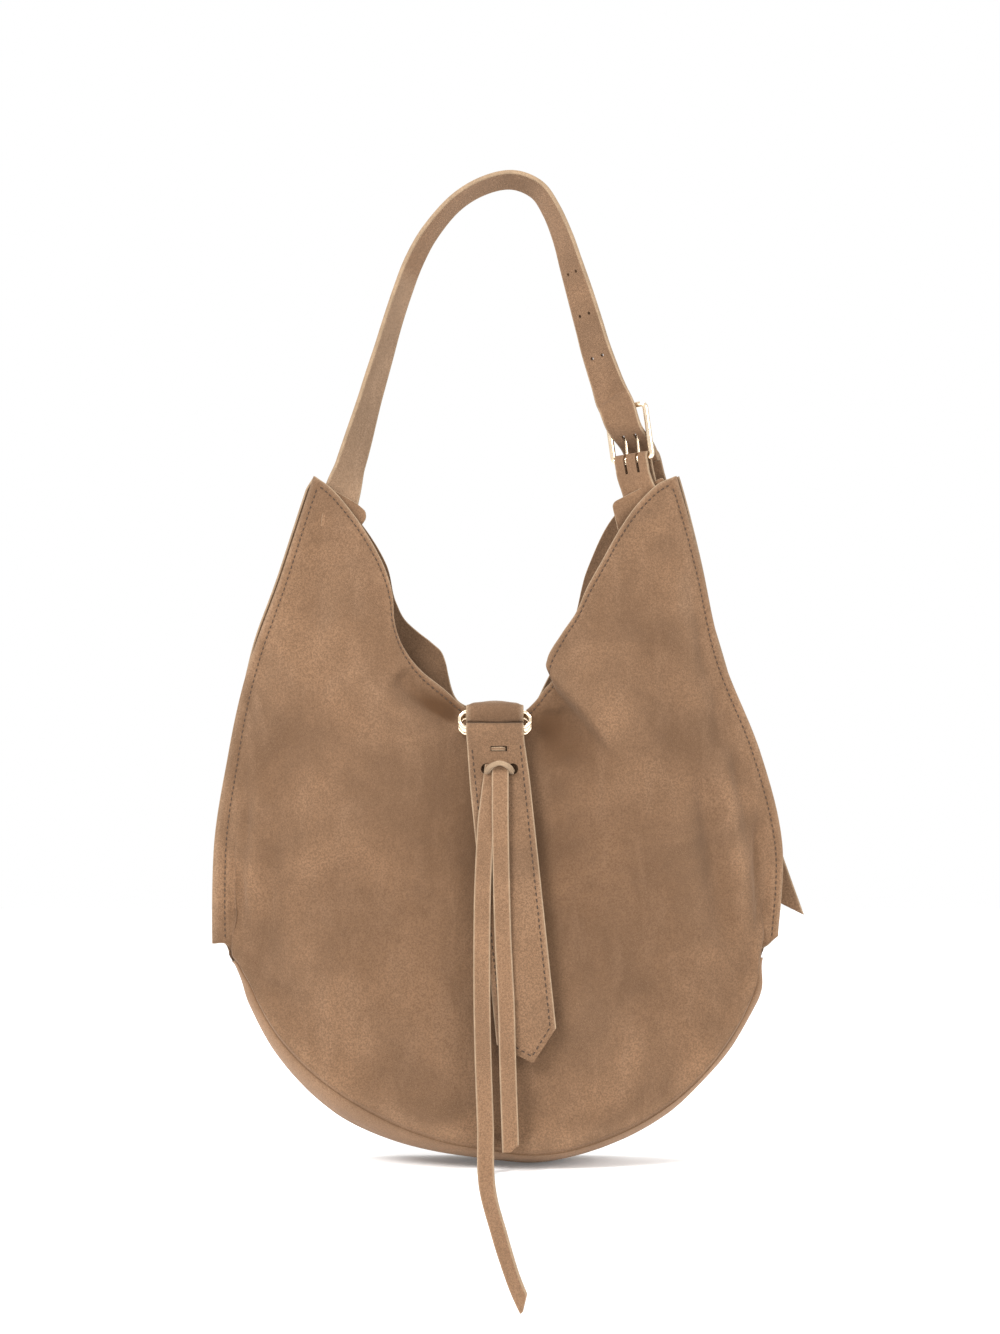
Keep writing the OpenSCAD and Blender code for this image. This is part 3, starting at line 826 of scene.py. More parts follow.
def soft_folds(side, x, z):
    """How far a panel's soft folds stand out, in mm."""
    h = 0 * x
    if side == FRONT:
        # the fold right of the ring: its upper right side lies over the hollow by the ring
        _, off, fade = ridge(x, z, (24, -338), (70, -392), 5, 20)
        h = fade * (3.2 * smooth(-off / 8 + 0.5) * np.exp(-np.maximum(-off, 0) / 26) - 2.2 * bell(off, 9, 12))
    for height, x0, z0, x1, z1, w0, w1 in FRONT_FOLDS if side == FRONT else BACK_FOLDS:
        h = h + height * ridge(x, z, (x0, z0), (x1, z1), w0, w1)[0]
    return h


def spaced(count, dense, total, step):
    """Places from 0 to 1, close together within dense mm of both ends."""
    near = int(dense / step)
    edge = np.linspace(0, dense / total, near, endpoint=False)
    middle = np.linspace(dense / total, 1 - dense / total, count)
    return np.concatenate([edge, middle, 1 - edge[::-1]])


def resampled(grid, u0, v0, u1, v1):
    """A grid of numbers over (v0, u0), looked up at (v1, u1)."""
    out = np.stack([np.interp(u1, u0, row) for row in grid])
    return np.stack([np.interp(v1, v0, out[:, k]) for k in range(out.shape[1])], 1)


def softened(h, times):
    for _ in range(times):
        q = np.pad(h, 1, mode="edge")
        h = (q[:-2, 1:-1] + q[2:, 1:-1] + q[1:-1, :-2] + q[1:-1, 2:] + 4 * h) / 8
    return h


SIM_U, SIM_V = np.linspace(0, 1, 84), np.linspace(0, 1, 60)
SIM_FRAMES = 26
CAP = 4.5


def drape(side):
    """A short cloth simulation of one panel, held where it is sewn: how far it moves out of its own surface, in mm."""
    U, V = np.meshgrid(SIM_U, SIM_V)
    p = panel_base(side, U, V)
    x, z = p[..., 0], p[..., 2]
    folds = soft_folds(side, x, z)
    out = -inward(p, side)
    start = p + out * folds[..., None] * 0.6
    rows, cols = U.shape
    me = bpy.data.meshes.new("drape")
    me.from_pydata((start.reshape(-1, 3) / 1000).tolist(), [], grid_faces(rows, cols).tolist())
    o = bpy.data.objects.new("drape", me)
    bpy.context.scene.collection.objects.link(o)
    held = np.maximum.reduce([1 - smooth(U / 0.03), 1 - smooth((1 - U) / 0.03), 1 - smooth((1 - V) / 0.04)])
    rim = (1 - smooth(V / 0.05)) * 0.35
    clasp = spot(x, z, CLOSURE_X, -385, 34, 40)
    weight = np.clip(np.maximum.reduce([held, rim, clasp]), 0, 1).ravel()
    group = o.vertex_groups.new(name="held")
    for i, w in enumerate(weight):
        if w > 0.01:
            group.add([i], float(w), "REPLACE")
    cloth = o.modifiers.new("cloth", "CLOTH")
    s = cloth.settings
    s.quality = 6
    s.mass = 0.25
    s.tension_stiffness = s.compression_stiffness = 25
    s.shear_stiffness = 12
    s.bending_stiffness = 1.2
    s.air_damping = 2
    s.vertex_group_mass = "held"
    s.pin_stiffness = 1
    s.shrink_min = -0.022
    s.use_pressure = True
    s.uniform_pressure_force = 0.6 * side * -1
    cloth.collision_settings.use_collision = False
    cloth.point_cache.frame_start, cloth.point_cache.frame_end = 1, SIM_FRAMES
    scene = bpy.context.scene
    for f in range(1, SIM_FRAMES + 1):
        scene.frame_set(f)
        bpy.context.view_layer.update()
    e = o.evaluated_get(bpy.context.evaluated_depsgraph_get())
    co = np.zeros(len(e.data.vertices) * 3, np.float32)
    e.data.vertices.foreach_get("co", co)
    moved = co.reshape(rows, cols, 3).astype(float) * 1000 - start
    scene.frame_set(1)
    bpy.data.objects.remove(o)
    h = (moved * out).sum(-1)
    h = np.where(np.isfinite(h), h, 0)
    return CAP * np.tanh(softened(h, 2) / CAP)


def panel(side):
    """One side of the bag: a sheet with soft folds, a rolled seam below, and cut edges above and along the wings."""
    u = spaced(250, 9, PANEL_W, 0.9)
    v = spaced(150, 9, PANEL_H + 10, 0.9)
    U, V = np.meshgrid(u, v)
    base = panel_base(side, U, V)
    out = -inward(base, side)
    x, z = base[..., 0], base[..., 2]
    folds = 2.0 * soft_folds(side, x, z)
    folds = folds + resampled(drape(side), SIM_U, SIM_V, u, v)
    folds = folds + 1.1 * noise(base, 64, 3 + side) + 0.45 * noise(base, 27, 7 + side)
    # quiet where the panel is sewn down, and never out towards the tongue and ring in front of it
    from_wing = np.minimum(U, 1 - U) * PANEL_W
    from_rim, from_seam = V * PANEL_H, (1 - V) * PANEL_H
    quiet = smooth(from_wing / 14) * smooth(from_seam / 22) * lerp(0.45, 1, smooth(from_rim / 20))
    folds = folds * quiet
    if side == FRONT:
        shelter = np.exp(-(((x + 8) / 36) ** 4)) * smooth((z + 640) / 40)
        folds = np.where(folds > 0, folds * (1 - shelter), folds)
    else:
        shelter = np.exp(-(((x + 11.7) / 30) ** 4)) * smooth((z + 430) / 20)
        folds = folds * (1 - 0.9 * shelter)
        shelter = smooth((x - 70) / 20)
        folds = np.where(folds > 0, folds * (1 - shelter), folds)
    p = base + out * folds[..., None]
    edge, rim = (FRONT_EDGE, FRONT_RIM) if side == FRONT else (BACK_EDGE, BACK_RIM)
    shift = through(edge, along_rim(edge, rim), u) - curve(rim, u)
    fade = np.exp(-V * 16)
    p[..., 0] += shift[None, :, 0] * fade
    p[..., 2] += shift[None, :, 1] * fade
    if side == BACK:
        # the back's wing stands a little proud of the front's at the upper left
        p[..., 0] -= 2.6 * smooth((-z - 200) / 12) * (1 - smooth((-z - 300) / 50)) * np.exp(-U * PANEL_W / 12)
    # stitch lines draw the surface in; the seam roll turns the lower edge into the bag
    line = np.zeros_like(U)
    for dist, where in ((from_rim, smooth(from_wing / 8)), (from_wing, smooth(from_rim / 2) * smooth(from_seam / 6))):
        line = np.maximum(line, bell(dist, STITCH_IN, 1.1) * where)
    pull = 0.4 * line
    roll = 2.6 * (1 - smooth(from_seam / 5.5)) ** 1.3
    roll = roll * smooth((U - NOTCH_STEP) / 0.02) * smooth((1 - NOTCH_STEP - U) / 0.02)
    out = -inward(p, side)
    outer = p - out * (pull + roll)[..., None]
    inner = p - out * (SUEDE_T + 0.25 * roll)[..., None]
    rows, cols = U.shape
    o_flat, i_flat = outer.reshape(-1, 3), inner.reshape(-1, 3)
    border = grid_border(rows, cols)
    near = np.clip(np.stack(np.unravel_index(border, (rows, cols))), 1, [[rows - 2], [cols - 2]])
    outward = unit(o_flat[border] - o_flat[near[0] * cols + near[1]])
    # the cut edge between the two faces: softly rounded, with a line between the plies
    k = 7
    rings = []
    for j in range(1, k):
        w = j / k
        bulge = 0.55 * math.sin(math.pi * w) ** 0.6 - 0.3 * math.exp(-(((w - 0.5) / 0.09) ** 2))
        rings.append(lerp(o_flat[border], i_flat[border], w) + outward * bulge)
    n = rows * cols
    points = np.concatenate([o_flat, i_flat] + rings)
    faces = np.concatenate([grid_faces(rows, cols), grid_faces(rows, cols, n)[:, ::-1]])
    loops = [border] + [2 * n + j * len(border) + np.arange(len(border)) for j in range(k - 1)] + [border + n]
    walls = [np.stack([a, b, np.roll(b, -1), np.roll(a, -1)], 1) for a, b in zip(loops[:-1], loops[1:])]
    faces = np.concatenate([faces] + walls)
    share = u[border % cols]
    sewn_down = (border >= (rows - 1) * cols) & (share > NOTCH_STEP) & (share < 1 - NOTCH_STEP)
    cells = (rows - 1) * (cols - 1)
    index = np.concatenate([np.zeros(cells), np.full(cells, 2), np.tile(np.where(sewn_down, 0, 1), k)])
    # paler where the rim and wings are rubbed, and painted highlight on the raised folds
    wear_and_highlight = 0.34 * (1 - smooth(np.minimum(from_rim, from_wing) / 3.2)) + 0.3 * np.clip(folds / 6, 0, 1)
    # painted shade along the stitch lines, at the seam where the edge rolls into the bag, and in the fold hollows
    painted_shade = 0.25 * line + 0.35 * (1 - smooth(from_seam / 2.4)) + 0.3 * np.clip(-folds / 6, 0, 1)
    if side == FRONT:
        # painted shade round the tongue, in the hollow right of the ring, and under the rim left of the ring
        painted_shade = painted_shade + 0.27 * spot(x, z, -2, -460, 62, 90)
        painted_shade = painted_shade + 0.5 * spot(x, z, 21, -371, 13, 15) + 0.32 * spot(x, z, 38, -386, 20, 22)
        under, off, _ = ridge(x, z, (-70, -349), (-36, -369), 4.5, 8)
        painted_shade = painted_shade + 0.95 * under * smooth((x + 76) / 30) * smooth((6 - off) / 3.5)
    # pad: the inside face takes a share of the outside's value, the cut edge along the sewn seam a fixed one; for
    # painted shade 0.4 and 0.85
    pad = lambda g, fill, wall: np.concatenate([g.ravel(), g.ravel() * fill, np.tile(wall * sewn_down, k - 1)])
    node = SIDE_NAME[side] + "_panel"
    mesh(
        node + "_suede", points, faces, [SUEDE, EDGE, SUEDE_IN], index, "bag", [node],
        sharp=60, values={"wear_and_highlight": pad(wear_and_highlight, 0, 0), "painted_shade": pad(painted_shade, 0.4, 0.85)},
    )
    return {"u": u, "v": v, "outer": outer, "out": out}


def on_grid(g, table, uu, vv):
    """Values of a panel's table at the places (uu, vv)."""
    iu = np.interp(uu, g["u"], np.arange(len(g["u"])))
    iv = np.interp(vv, g["v"], np.arange(len(g["v"])))
    a, b = np.floor(iu).astype(int), np.floor(iv).astype(int)
    a, b = np.clip(a, 0, len(g["u"]) - 2), np.clip(b, 0, len(g["v"]) - 2)
    fa, fb = (iu - a)[:, None], (iv - b)[:, None]
    t = g[table]
    upper = t[b, a] * (1 - fa) * (1 - fb) + t[b, a + 1] * fa * (1 - fb)
    return upper + t[b + 1, a] * (1 - fa) * fb + t[b + 1, a + 1] * fa * fb


def panel_stitches(side, g):
    """Topstitching along the rim and both wings."""
    n = 500
    t = np.linspace(0, 1, n)
    parts = []
    inset_u, inset_v = STITCH_IN / PANEL_W, STITCH_IN / PANEL_H
    lines = [
        (lerp(inset_u * 1.2, 1 - inset_u * 1.2, t), np.full(n, inset_v)),
        (np.full(n, inset_u), lerp(inset_v * 1.5, 0.985, t)),
        (np.full(n, 1 - inset_u), lerp(inset_v * 1.5, 0.985, t)),
    ]
    for uu, vv in lines:
        parts += sewn(on_grid(g, "outer", uu, vv), on_grid(g, "out", uu, vv), 3.9, 2.5, sink=0.02)
    stitch_object(SIDE_NAME[side] + "_topstitching", parts, "bag")


panels = {side: panel(side) for side in (FRONT, BACK)}
for side, grid in panels.items():
    panel_stitches(side, grid)


# ---- Gusset between the panels ----

GUSSET_START = 0.05


def gusset():
    rows, cols = 260, 40
    s, w = np.meshgrid(np.linspace(0, 1, rows), np.linspace(0, 1, cols), indexing="ij")
    u = lerp(GUSSET_START, 1 - GUSSET_START, s)
    f = at_depth(FRONT, seam_arc(FRONT, u) + eased(u), arc_depth(u)) + np.array([0, WING_D, 0])
    b = at_depth(BACK, seam_arc(BACK, u) + eased(u), arc_depth(u)) - np.array([0, WING_D, 0])
    a = np.radians(arc_angle(u))
    radial = np.stack([np.cos(a), 0 * a, np.sin(a)], -1)
    full = 3.4 + 5 * bell(u, 0.31, 0.13) + 2.4 * bell(u, 0.66, 0.12) + 3.4 * bell(u, 0.5, 0.13)
    full = full * smooth(s / 0.07) * smooth((1 - s) / 0.07)
    bulge = full * (1 - np.abs(2 * w - 1) ** 2.6) - 1.2 * (np.exp(-w / 0.03) + np.exp(-(1 - w) / 0.03))
    mid = lerp(f, b, w[..., None])
    bulge = bulge + (0.8 * noise(mid, 45, 21) + 0.35 * noise(mid, 18, 22)) * half_wave(w, 0.8)
    top = mid + radial * bulge[..., None]
    under = mid + radial * (bulge - SUEDE_T)[..., None]
    n = rows * cols
    border = grid_border(rows, cols)
    after = np.roll(border, -1)
    walls = np.stack([border, border + n, after + n, after], 1)
    faces = np.concatenate([grid_faces(rows, cols), grid_faces(rows, cols, n)[:, ::-1], walls])
    index = np.concatenate([np.zeros(2 * (rows - 1) * (cols - 1)), np.ones(len(border))])
    # painted shade along both seams, where the gusset meets the panels
    painted_shade = 0.85 * (np.exp(-w / 0.022) + np.exp(-(1 - w) / 0.022))
    mesh(
        "bottom_gusset_suede", np.stack([top, under]), faces, [SUEDE_GUSSET, EDGE], index, "bag", ["bottom_gusset"],
        values={"painted_shade": np.stack([painted_shade, painted_shade])},
    )


gusset()


# ---- Strap ----

STRAP_W, STRAP_T = 25, 2.8
LEFT_END = [[-120, 0, -236], [-117, 0, -216], [-112, 0, -198], [-106, 0, -178]]
LOOP = [
    [-95, 0, -140], [-88, 0, -117], [-82, 0, -97], [-75, 0, -76], [-67, 0, -55], [-56, 0, -35], [-39, 0, -15],
    [-20, 0, -3], [0, 0, 1.4], [17, 0, -5], [27, 0, -19], [35, 0, -38], [41, 0, -58], [47, 0, -78], [53, 0, -99],
    [58, 0, -117],
]
# Under and over the buckle's bars, from its heel
RUN = [
    [-8.2, -3.5, 47], [-5.6, -6, 42], [-3.3, -7, 36.6], [-1.7, -6.2, 27], [-1, -4, 21.5], [-0.4, 0.4, 16.5],
    [-0.2, 5.5, 12.8], [0.3, 9.6, 8.6], [0.8, 12.4, 3], [1.4, 13.4, -3.5],
]
HEEL = np.array([83.0, 0, -190.5])
BUCKLE_TURN = turn("y", -8) @ turn("z", -28)
HOLE_GAP, BAR_D, PRONG_D, BUCKLE_H = 9, 3.4, 1.8, 40
BUCKLE_W = STRAP_W + 1 + 2 * BAR_D
TOP_BAR = BUCKLE_H - BAR_D
HOLE_X = (-HOLE_GAP / 2, HOLE_GAP / 2)


def at_heel(p):
    return HEEL + np.asarray(p, float) @ BUCKLE_TURN.T


run_points = at_heel(RUN)
strap_points = np.array(LEFT_END + LOOP + run_points.tolist())


def strap_across(s, p, ahead):
    """The strap's faces turn sideways over the top of the loop, and lie flat again in the buckle."""
    along = distances(p)
    left = along[np.argmin(np.linalg.norm(p - np.array(LOOP[0], float), axis=1))]
    right = along[np.argmin(np.linalg.norm(p - np.array([64, 0, -135.5]), axis=1))]
    t = np.clip((along - left) / (right - left), 0, 1)
    loop = 72 - np.where(t < 0.5, 14, 40) * np.abs(2 * t - 1) ** 1.4
    start = 40 * smooth((along - 14) / 30) + 18 * smooth((along - 40) / (left - 40))
    end = lerp(32, 13, smooth((along - right) / 20))
    w = faced(ahead, np.where(along < left, start, np.where(along > right, end, loop)))
    seated = smooth((along - right - 24) / 18)[:, None]
    return unit(lerp(w, np.tile(-BUCKLE_TURN[:, 0], (len(p), 1)), seated))


strap_path = Path(strap_points, strap_across, 3000)
strap = strip(
    "shoulder_strap_suede", strap_path, STRAP_W, STRAP_T, [SUEDE_STRAP, EDGE], step=1.5, cols=17, crown=0.12,
    lift=lambda d, a: 0.3 * np.sin(d / 41.0) + 0.22 * np.sin(d / 15.0 + a / 9.0),
    pale=lambda d, a: 0.5 * (1 - smooth((d - strap_path.along([-73, 0, -72])) / 16)),
    # painted shade from inside the buckle on, where the strap runs behind its bars
    tone=lambda d, a: 0.3 * smooth((d - strap_path.along(run_points[4])) / 8),
)


def cut(target, tools):
    """Cuts tools out of target with an exact boolean, applied."""
    points, faces = joined(tools)
    tool = mesh("tool", points, faces, [EDGE_DARK])
    m = target.modifiers.new("cut", "BOOLEAN")
    m.operation, m.solver, m.object, m.use_self = "DIFFERENCE", "EXACT", tool, True
    dg = bpy.context.evaluated_depsgraph_get()
    made = bpy.data.meshes.new_from_object(target.evaluated_get(dg))
    target.modifiers.remove(m)
    old = target.data
    target.data = made
    bpy.data.meshes.remove(old)
    bpy.data.objects.remove(tool)
    made.set_sharp_from_angle(angle=math.radians(45))


def rod(start, end, radius, sides=20):
    """A closed cylinder."""
    start, end = np.asarray(start, float), np.asarray(end, float)
    z = unit(end - start)
    x = unit(np.cross(z, [0.3, 0.9, 0.2]))
    y = np.cross(z, x)
    a = np.arange(sides) * 2 * math.pi / sides
    ring = radius * (np.cos(a)[:, None] * x + np.sin(a)[:, None] * y)
    return np.concatenate([start + ring, end + ring]), grid_faces(2, sides, loop=True).tolist() + end_faces(2, sides)


def box(centre, wide, tall, deep, x, y, z):
    """A closed box with half lengths along three directions."""
    c = np.array([[i, j, k] for i in (-1, 1) for j in (-1, 1) for k in (-1, 1)], float)
    p = np.asarray(centre, float) + c[:, :1] * wide * x + c[:, 1:2] * deep * y + c[:, 2:] * tall * z
    f = [[0, 1, 3, 2], [4, 6, 7, 5], [0, 4, 5, 1], [2, 3, 7, 6], [0, 2, 6, 4], [1, 5, 7, 3]]
    return p, f


def punch(path, d, a, radius, reach=6):
    c = path.at(np.array([d]), np.array([a]), np.array([0.0]))[0]
    n = path.facing(np.array([d]))[0]
    return rod(c - n * reach, c + n * reach, radius)


first_hole = strap_path.along([59, 0, -120])
holes = [punch(strap_path, first_hole - 30 * k, a, 1.3) for k in range(3) for a in HOLE_X]
cut(strap, holes + [box(at_heel([x, 0, 15.2]), 1.2, 2.0, 12, *BUCKLE_TURN.T) for x in HOLE_X])
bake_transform(strap)
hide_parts("shoulder_strap", "strap_left_end", "strap_buckled_run")

TAIL = [
    [95, 14.5, -208], [106, 15.8, -240], [119, 15.5, -280], [133, 16, -325], [146, 17, -370], [159, 18, -415],
    [173, 18, -460], [190, 17.4, -508],
]


def tail_across(s, p, ahead):
    return unit(lerp(np.tile(-BUCKLE_TURN[:, 0], (len(p), 1)), faced(ahead, 0 * s), smooth(s / 0.12)[:, None]))


tail = strip(
    "strap_tail_suede", Path(run_points[-2:].tolist() + TAIL, tail_across, 2000), STRAP_W, STRAP_T,
    [SUEDE_TAIL, EDGE], crown=0.1,
    lift=lambda d, a: 0.5 * np.sin(d / 37.0), end_cut=lambda a: np.maximum(0, a + STRAP_W / 2) * 1.05,
)
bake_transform(tail)
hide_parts("strap_tail")


# ---- Buckle ----


def tube(points, radii, sides=16, closed=False, squash=1.0, up=(0, 1, 0)):
    """A round rod through points, or a flattened one: squash is its measure along up."""
    p = np.asarray(points, float)
    n = len(p)
    if closed:
        ahead = unit(np.roll(p, -1, 0) - np.roll(p, 1, 0))
    else:
        ahead = unit(np.gradient(p, axis=0))
    side = unit(np.cross(ahead, np.array(up, float)))
    top = np.cross(side, ahead)
    a = np.arange(sides) * 2 * math.pi / sides
    r = np.broadcast_to(np.asarray(radii, float), (n,))[:, None, None]
    ring = side[:, None, :] * np.cos(a)[None, :, None] + top[:, None, :] * np.sin(a)[None, :, None] * squash
    q = (p[:, None, :] + ring * r).reshape(-1, 3)
    f = grid_faces(n, sides, loop=True, closed=closed).tolist()
    return q, f if closed else f + end_faces(n, sides)


def rounded(corners, radius, count):
    """A closed outline with its corners rounded, each by count points."""
    c = np.asarray(corners, float)
    out = []
    for k in range(len(c)):
        a, b, d = c[k - 1], c[k], c[(k + 1) % len(c)]
        r = min(radius, 0.4 * np.linalg.norm(a - b), 0.4 * np.linalg.norm(d - b))
        p0, p1 = b + unit(a - b) * r, b + unit(d - b) * r
        out += [(1 - s) ** 2 * p0 + 2 * s * (1 - s) * b + s * s * p1 for s in np.linspace(0, 1, count)]
    return np.array(out)


def refined(loop, step):
    """A closed outline with a point about every step."""
    out = []
    for a, b in zip(loop, np.roll(loop, -1, 0)):
        steps = max(1, int(np.linalg.norm(b - a) / step))
        out += [lerp(a, b, k / steps) for k in range(steps)]
    return np.array(out)


def gold_piece(name, points, faces, body, node):
    mesh(name, points, faces, [GOLD], body=body, nodes=[node], sharp=70)


def rounded_loop(hw, z0, z1, r, n=10):
    """A rounded rectangle in the local X-Z plane."""
    pts = []
    for cx, cz, a0 in ((hw - r, z1 - r, 0), (-hw + r, z1 - r, 90), (-hw + r, z0 + r, 180), (hw - r, z0 + r, 270)):
        for k in range(n + 1):
            a = math.radians(a0 + 90 * k / n)
            pts.append([cx + r * math.cos(a), 0, cz + r * math.sin(a)])
    return refined(np.array(pts), 1.2)


FRAME_R = 2.0


def buckle():
    loop = rounded_loop((BUCKLE_W - BAR_D) / 2, 0, TOP_BAR, 3.0)
    p, f = tube(loop, FRAME_R, 20, True)
    gold_piece("buckle_frame_gold", at_heel(p), f, "buckle", "buckle_frame")
    for side, x in zip(("left", "right"), HOLE_X):
        # a pin from the heel bar to behind the top bar, and the loop that holds it on the heel bar
        t = np.linspace(0, 1, 40)
        y = lerp(1.2, FRAME_R + PRONG_D / 2, t) + 0.9 * np.sin(math.pi * t)
        pin = np.stack([x + 0 * t, y, lerp(2.2, TOP_BAR + 1.9, t)], 1)
        radii = PRONG_D / 2 * (1.12 - 0.32 * t) * np.sqrt(np.clip((1.0001 - t) / 0.02, 0.1, 1))
        a = np.linspace(0, 2 * math.pi, 28, endpoint=False)
        eye = np.stack([x + 0 * a, 2.7 * np.cos(a), 2.7 * np.sin(a)], 1)
        p, f = joined([tube(pin, radii, 12), tube(eye, 0.62, 10, True, 2.4, (1, 0, 0))])
        gold_piece(f"buckle_prong_{side}_gold", at_heel(p), f, f"prong_{side}", f"buckle_prong_{side}")


buckle()

FOLD_T = 1.9
FOLD_R = BAR_D / 2 + 0.75 + FOLD_T / 2


def buckle_strap():
    """The short strap folded round the heel bar: both of its layers run down inside the right peak."""
    turns = np.radians(range(180, -1, -20))
    round_bar = (FOLD_R * np.stack([np.cos(turns), np.sin(turns)], 1)).tolist()
    local = [[-2.2, -12], [-3, -6]] + round_bar + [[3.6, -6], [4.4, -12]]
    fold = at_heel([[0, y, z] for y, z in local])
    front_leg = [[94, -1.05, -238], [90, -1.05, -221]]
    back_leg = [[91, 1.05, -221], [95, 1.05, -238]]
    points = np.array(front_leg + fold.tolist() + back_leg)

    def across(s, p, ahead):
        along = distances(p)
        ends = np.minimum(along, along[-1] - along)
        t = smooth((ends - 12) / 20)[:, None]
        flat = np.tile(np.array([0.97, 0, -0.22]), (len(p), 1))
        return unit(lerp(flat, np.tile(BUCKLE_TURN[:, 0], (len(p), 1)), t))

    path = Path(points, across, 1200)
    o = strip(
        "buckle_strap_suede", path, STRAP_W, FOLD_T, [SUEDE_LIGHT, EDGE], "bag", ["buckle_strap", "buckle_strap_end"],
        step=0.8, cols=19, crown=0.05, groove=0.05,
    )
    cut(o, [box(at_heel([x, 0, -1.2]), 1.0, 8.2, 9, *BUCKLE_TURN.T) for x in HOLE_X])


buckle_strap()


# ---- Patches that back up the strap's ends ----


PATCH_T = 1.5


def patch(name, corners, y, node, bend):
    """A patch cut from suede: a rounded outline, bent by bend(x, z)."""
    loop = refined(rounded(corners, 4.0, 7), 1.3)
    mid = loop.mean(0)
    rings, m = 12, len(loop)
    shares = [(k + 1) / rings for k in range(rings)]
    # outlines from the middle of the front, round the cut edge, to the middle of the back, with their depths
    order = [(mid + (loop - mid) * s, PATCH_T / 2) for s in shares]
    for w in (0.25, 0.5, 0.75):
        out = unit(loop - mid) * (0.35 * math.sin(math.pi * w) ** 0.6)
        order.append((loop + out, (1 - 2 * w) * PATCH_T / 2))
    order += [(mid + (loop - mid) * s, -PATCH_T / 2) for s in shares[::-1]]
    points = [np.stack([q[:, 0], y - depth + bend(q[:, 0], q[:, 1]), q[:, 1]], 1) for q, depth in order]
    faces = grid_faces(len(order), m, loop=True).tolist() + end_faces(len(order), m)
    flat = np.zeros((rings - 1) * m)
    index = np.concatenate([flat, np.ones(4 * m), flat, np.zeros(2)])
    mesh(name, np.concatenate(points), faces, [SUEDE_LIGHT, EDGE], index, "bag", [node])


patch(
    "anchor_patch_left_suede",
    [[-127, -209], [-107, -220.5], [-100.5, -226], [-100, -231], [-107, -241], [-131, -238]], -2.7, "anchor_patch_left",
    lambda x, z: -0.6 * smooth((x + 112) / 12) + 0.25 * np.sin(z / 4.0),
)
patch(
    "anchor_patch_right_suede", [[68.5, -220.5], [104, -202.5], [106, -232], [73.5, -242]], -3.1, "anchor_patch_right",
    lambda x, z: -0.9 * smooth((84 - x) / 16) + 0.3 * np.sin(x / 5.0 + z / 7.0),
)


# ---- Closure: tab, ring and tongue ----

RING_Y, RING_TOP, RING_H, WIRE_D, RING_W = -28, -363, 18.3, 3.2, 51
RING_LOW = RING_TOP - RING_H + WIRE_D
TAB_T = 2.0
TONGUE_W, TONGUE_L = 39, 219


def closure_tab():
    """The back's tab: up the back panel, over the mouth, round the ring's upper bar and back under itself."""
    route = [
        [34, -414], [30.4, -397], [26.7, -380], [23.6, -366], [20.5, -359.4], [14, -357.1], [-14, -357.1], [-22, -357],
        [-27.2, -357.3], [-30.8, -358.8], [-32.6, -362], [-33, -365.6], [-32.1, -368.3], [-29.8, -369.4],
        [-26.6, -370.9], [-23.3, -371.3], [-20.9, -369.3], [-19.6, -364.6], [-17.4, -361], [-13, -359.6], [-8, -359.5],
    ]
    path = Path([[CLOSURE_X, y, z] for y, z in route], always([1, 0, 0]), 2000)
    at = lambda y, z: path.along([CLOSURE_X, y, z])
    rise, brow, front = at(19, -359), at(-27.2, -357.3), at(-33, -365.6)

    def lift(d, a):
        """Its sides drop over the mouth and droop round the ring."""
        start = smooth((d - rise + 7) / 8)
        side = np.abs(a)
        ring_droop = 1.2 - 1.2 * np.cos(a / 13.0) + 0.6 * smooth((side - 15.5) / 4) - 0.15 * np.sin(a / 3.1 + d / 9)
        top_droop = 1.0 - 1.0 * np.cos(a / 13.0) + 0.5 * smooth((side - 14) / 4)
        return start * smooth((front + 10 - d) / 8) * ring_droop + start * smooth((brow + 3 - d) / 6) * top_droop

    o = strip(
        "closure_tab_suede", path, TONGUE_W, TAB_T, [SUEDE_TAB, EDGE], step=0.9, cols=27, lift=lift,
        # tone is painted shade where the tab turns round the ring, above the tongue
        pale=lambda d, a: 0.75 * smooth((np.abs(a) - 16.6) / 1.2), tone=lambda d, a: 0.3 * bell(d, front + 1, 4),
    )
    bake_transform(o)
    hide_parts("closure_tab", "closure_tab_base")
    # a box of stitches where it is sewn to the back panel
    low, high, half = 3.5, at(23.6, -366) - 1.5, 15.5
    corners = [(low, -half), (high, -half), (high, half), (low, half), (low, -half)]
    sign = 1 if path.facing(np.array([20.0]))[0][1] > 0 else -1
    parts = []
    for (d0, a0), (d1, a1) in zip(corners[:-1], corners[1:]):
        t = np.linspace(0, 1, 60)
        d = lerp(d0, d1, t)
        parts += sewn(path.at(d, lerp(a0, a1, t), np.full(60, sign * TAB_T / 2)), sign * path.facing(d), 3.6, 2.4)
    stitch_object("tab_base_stitching", parts, "bag")


closure_tab()


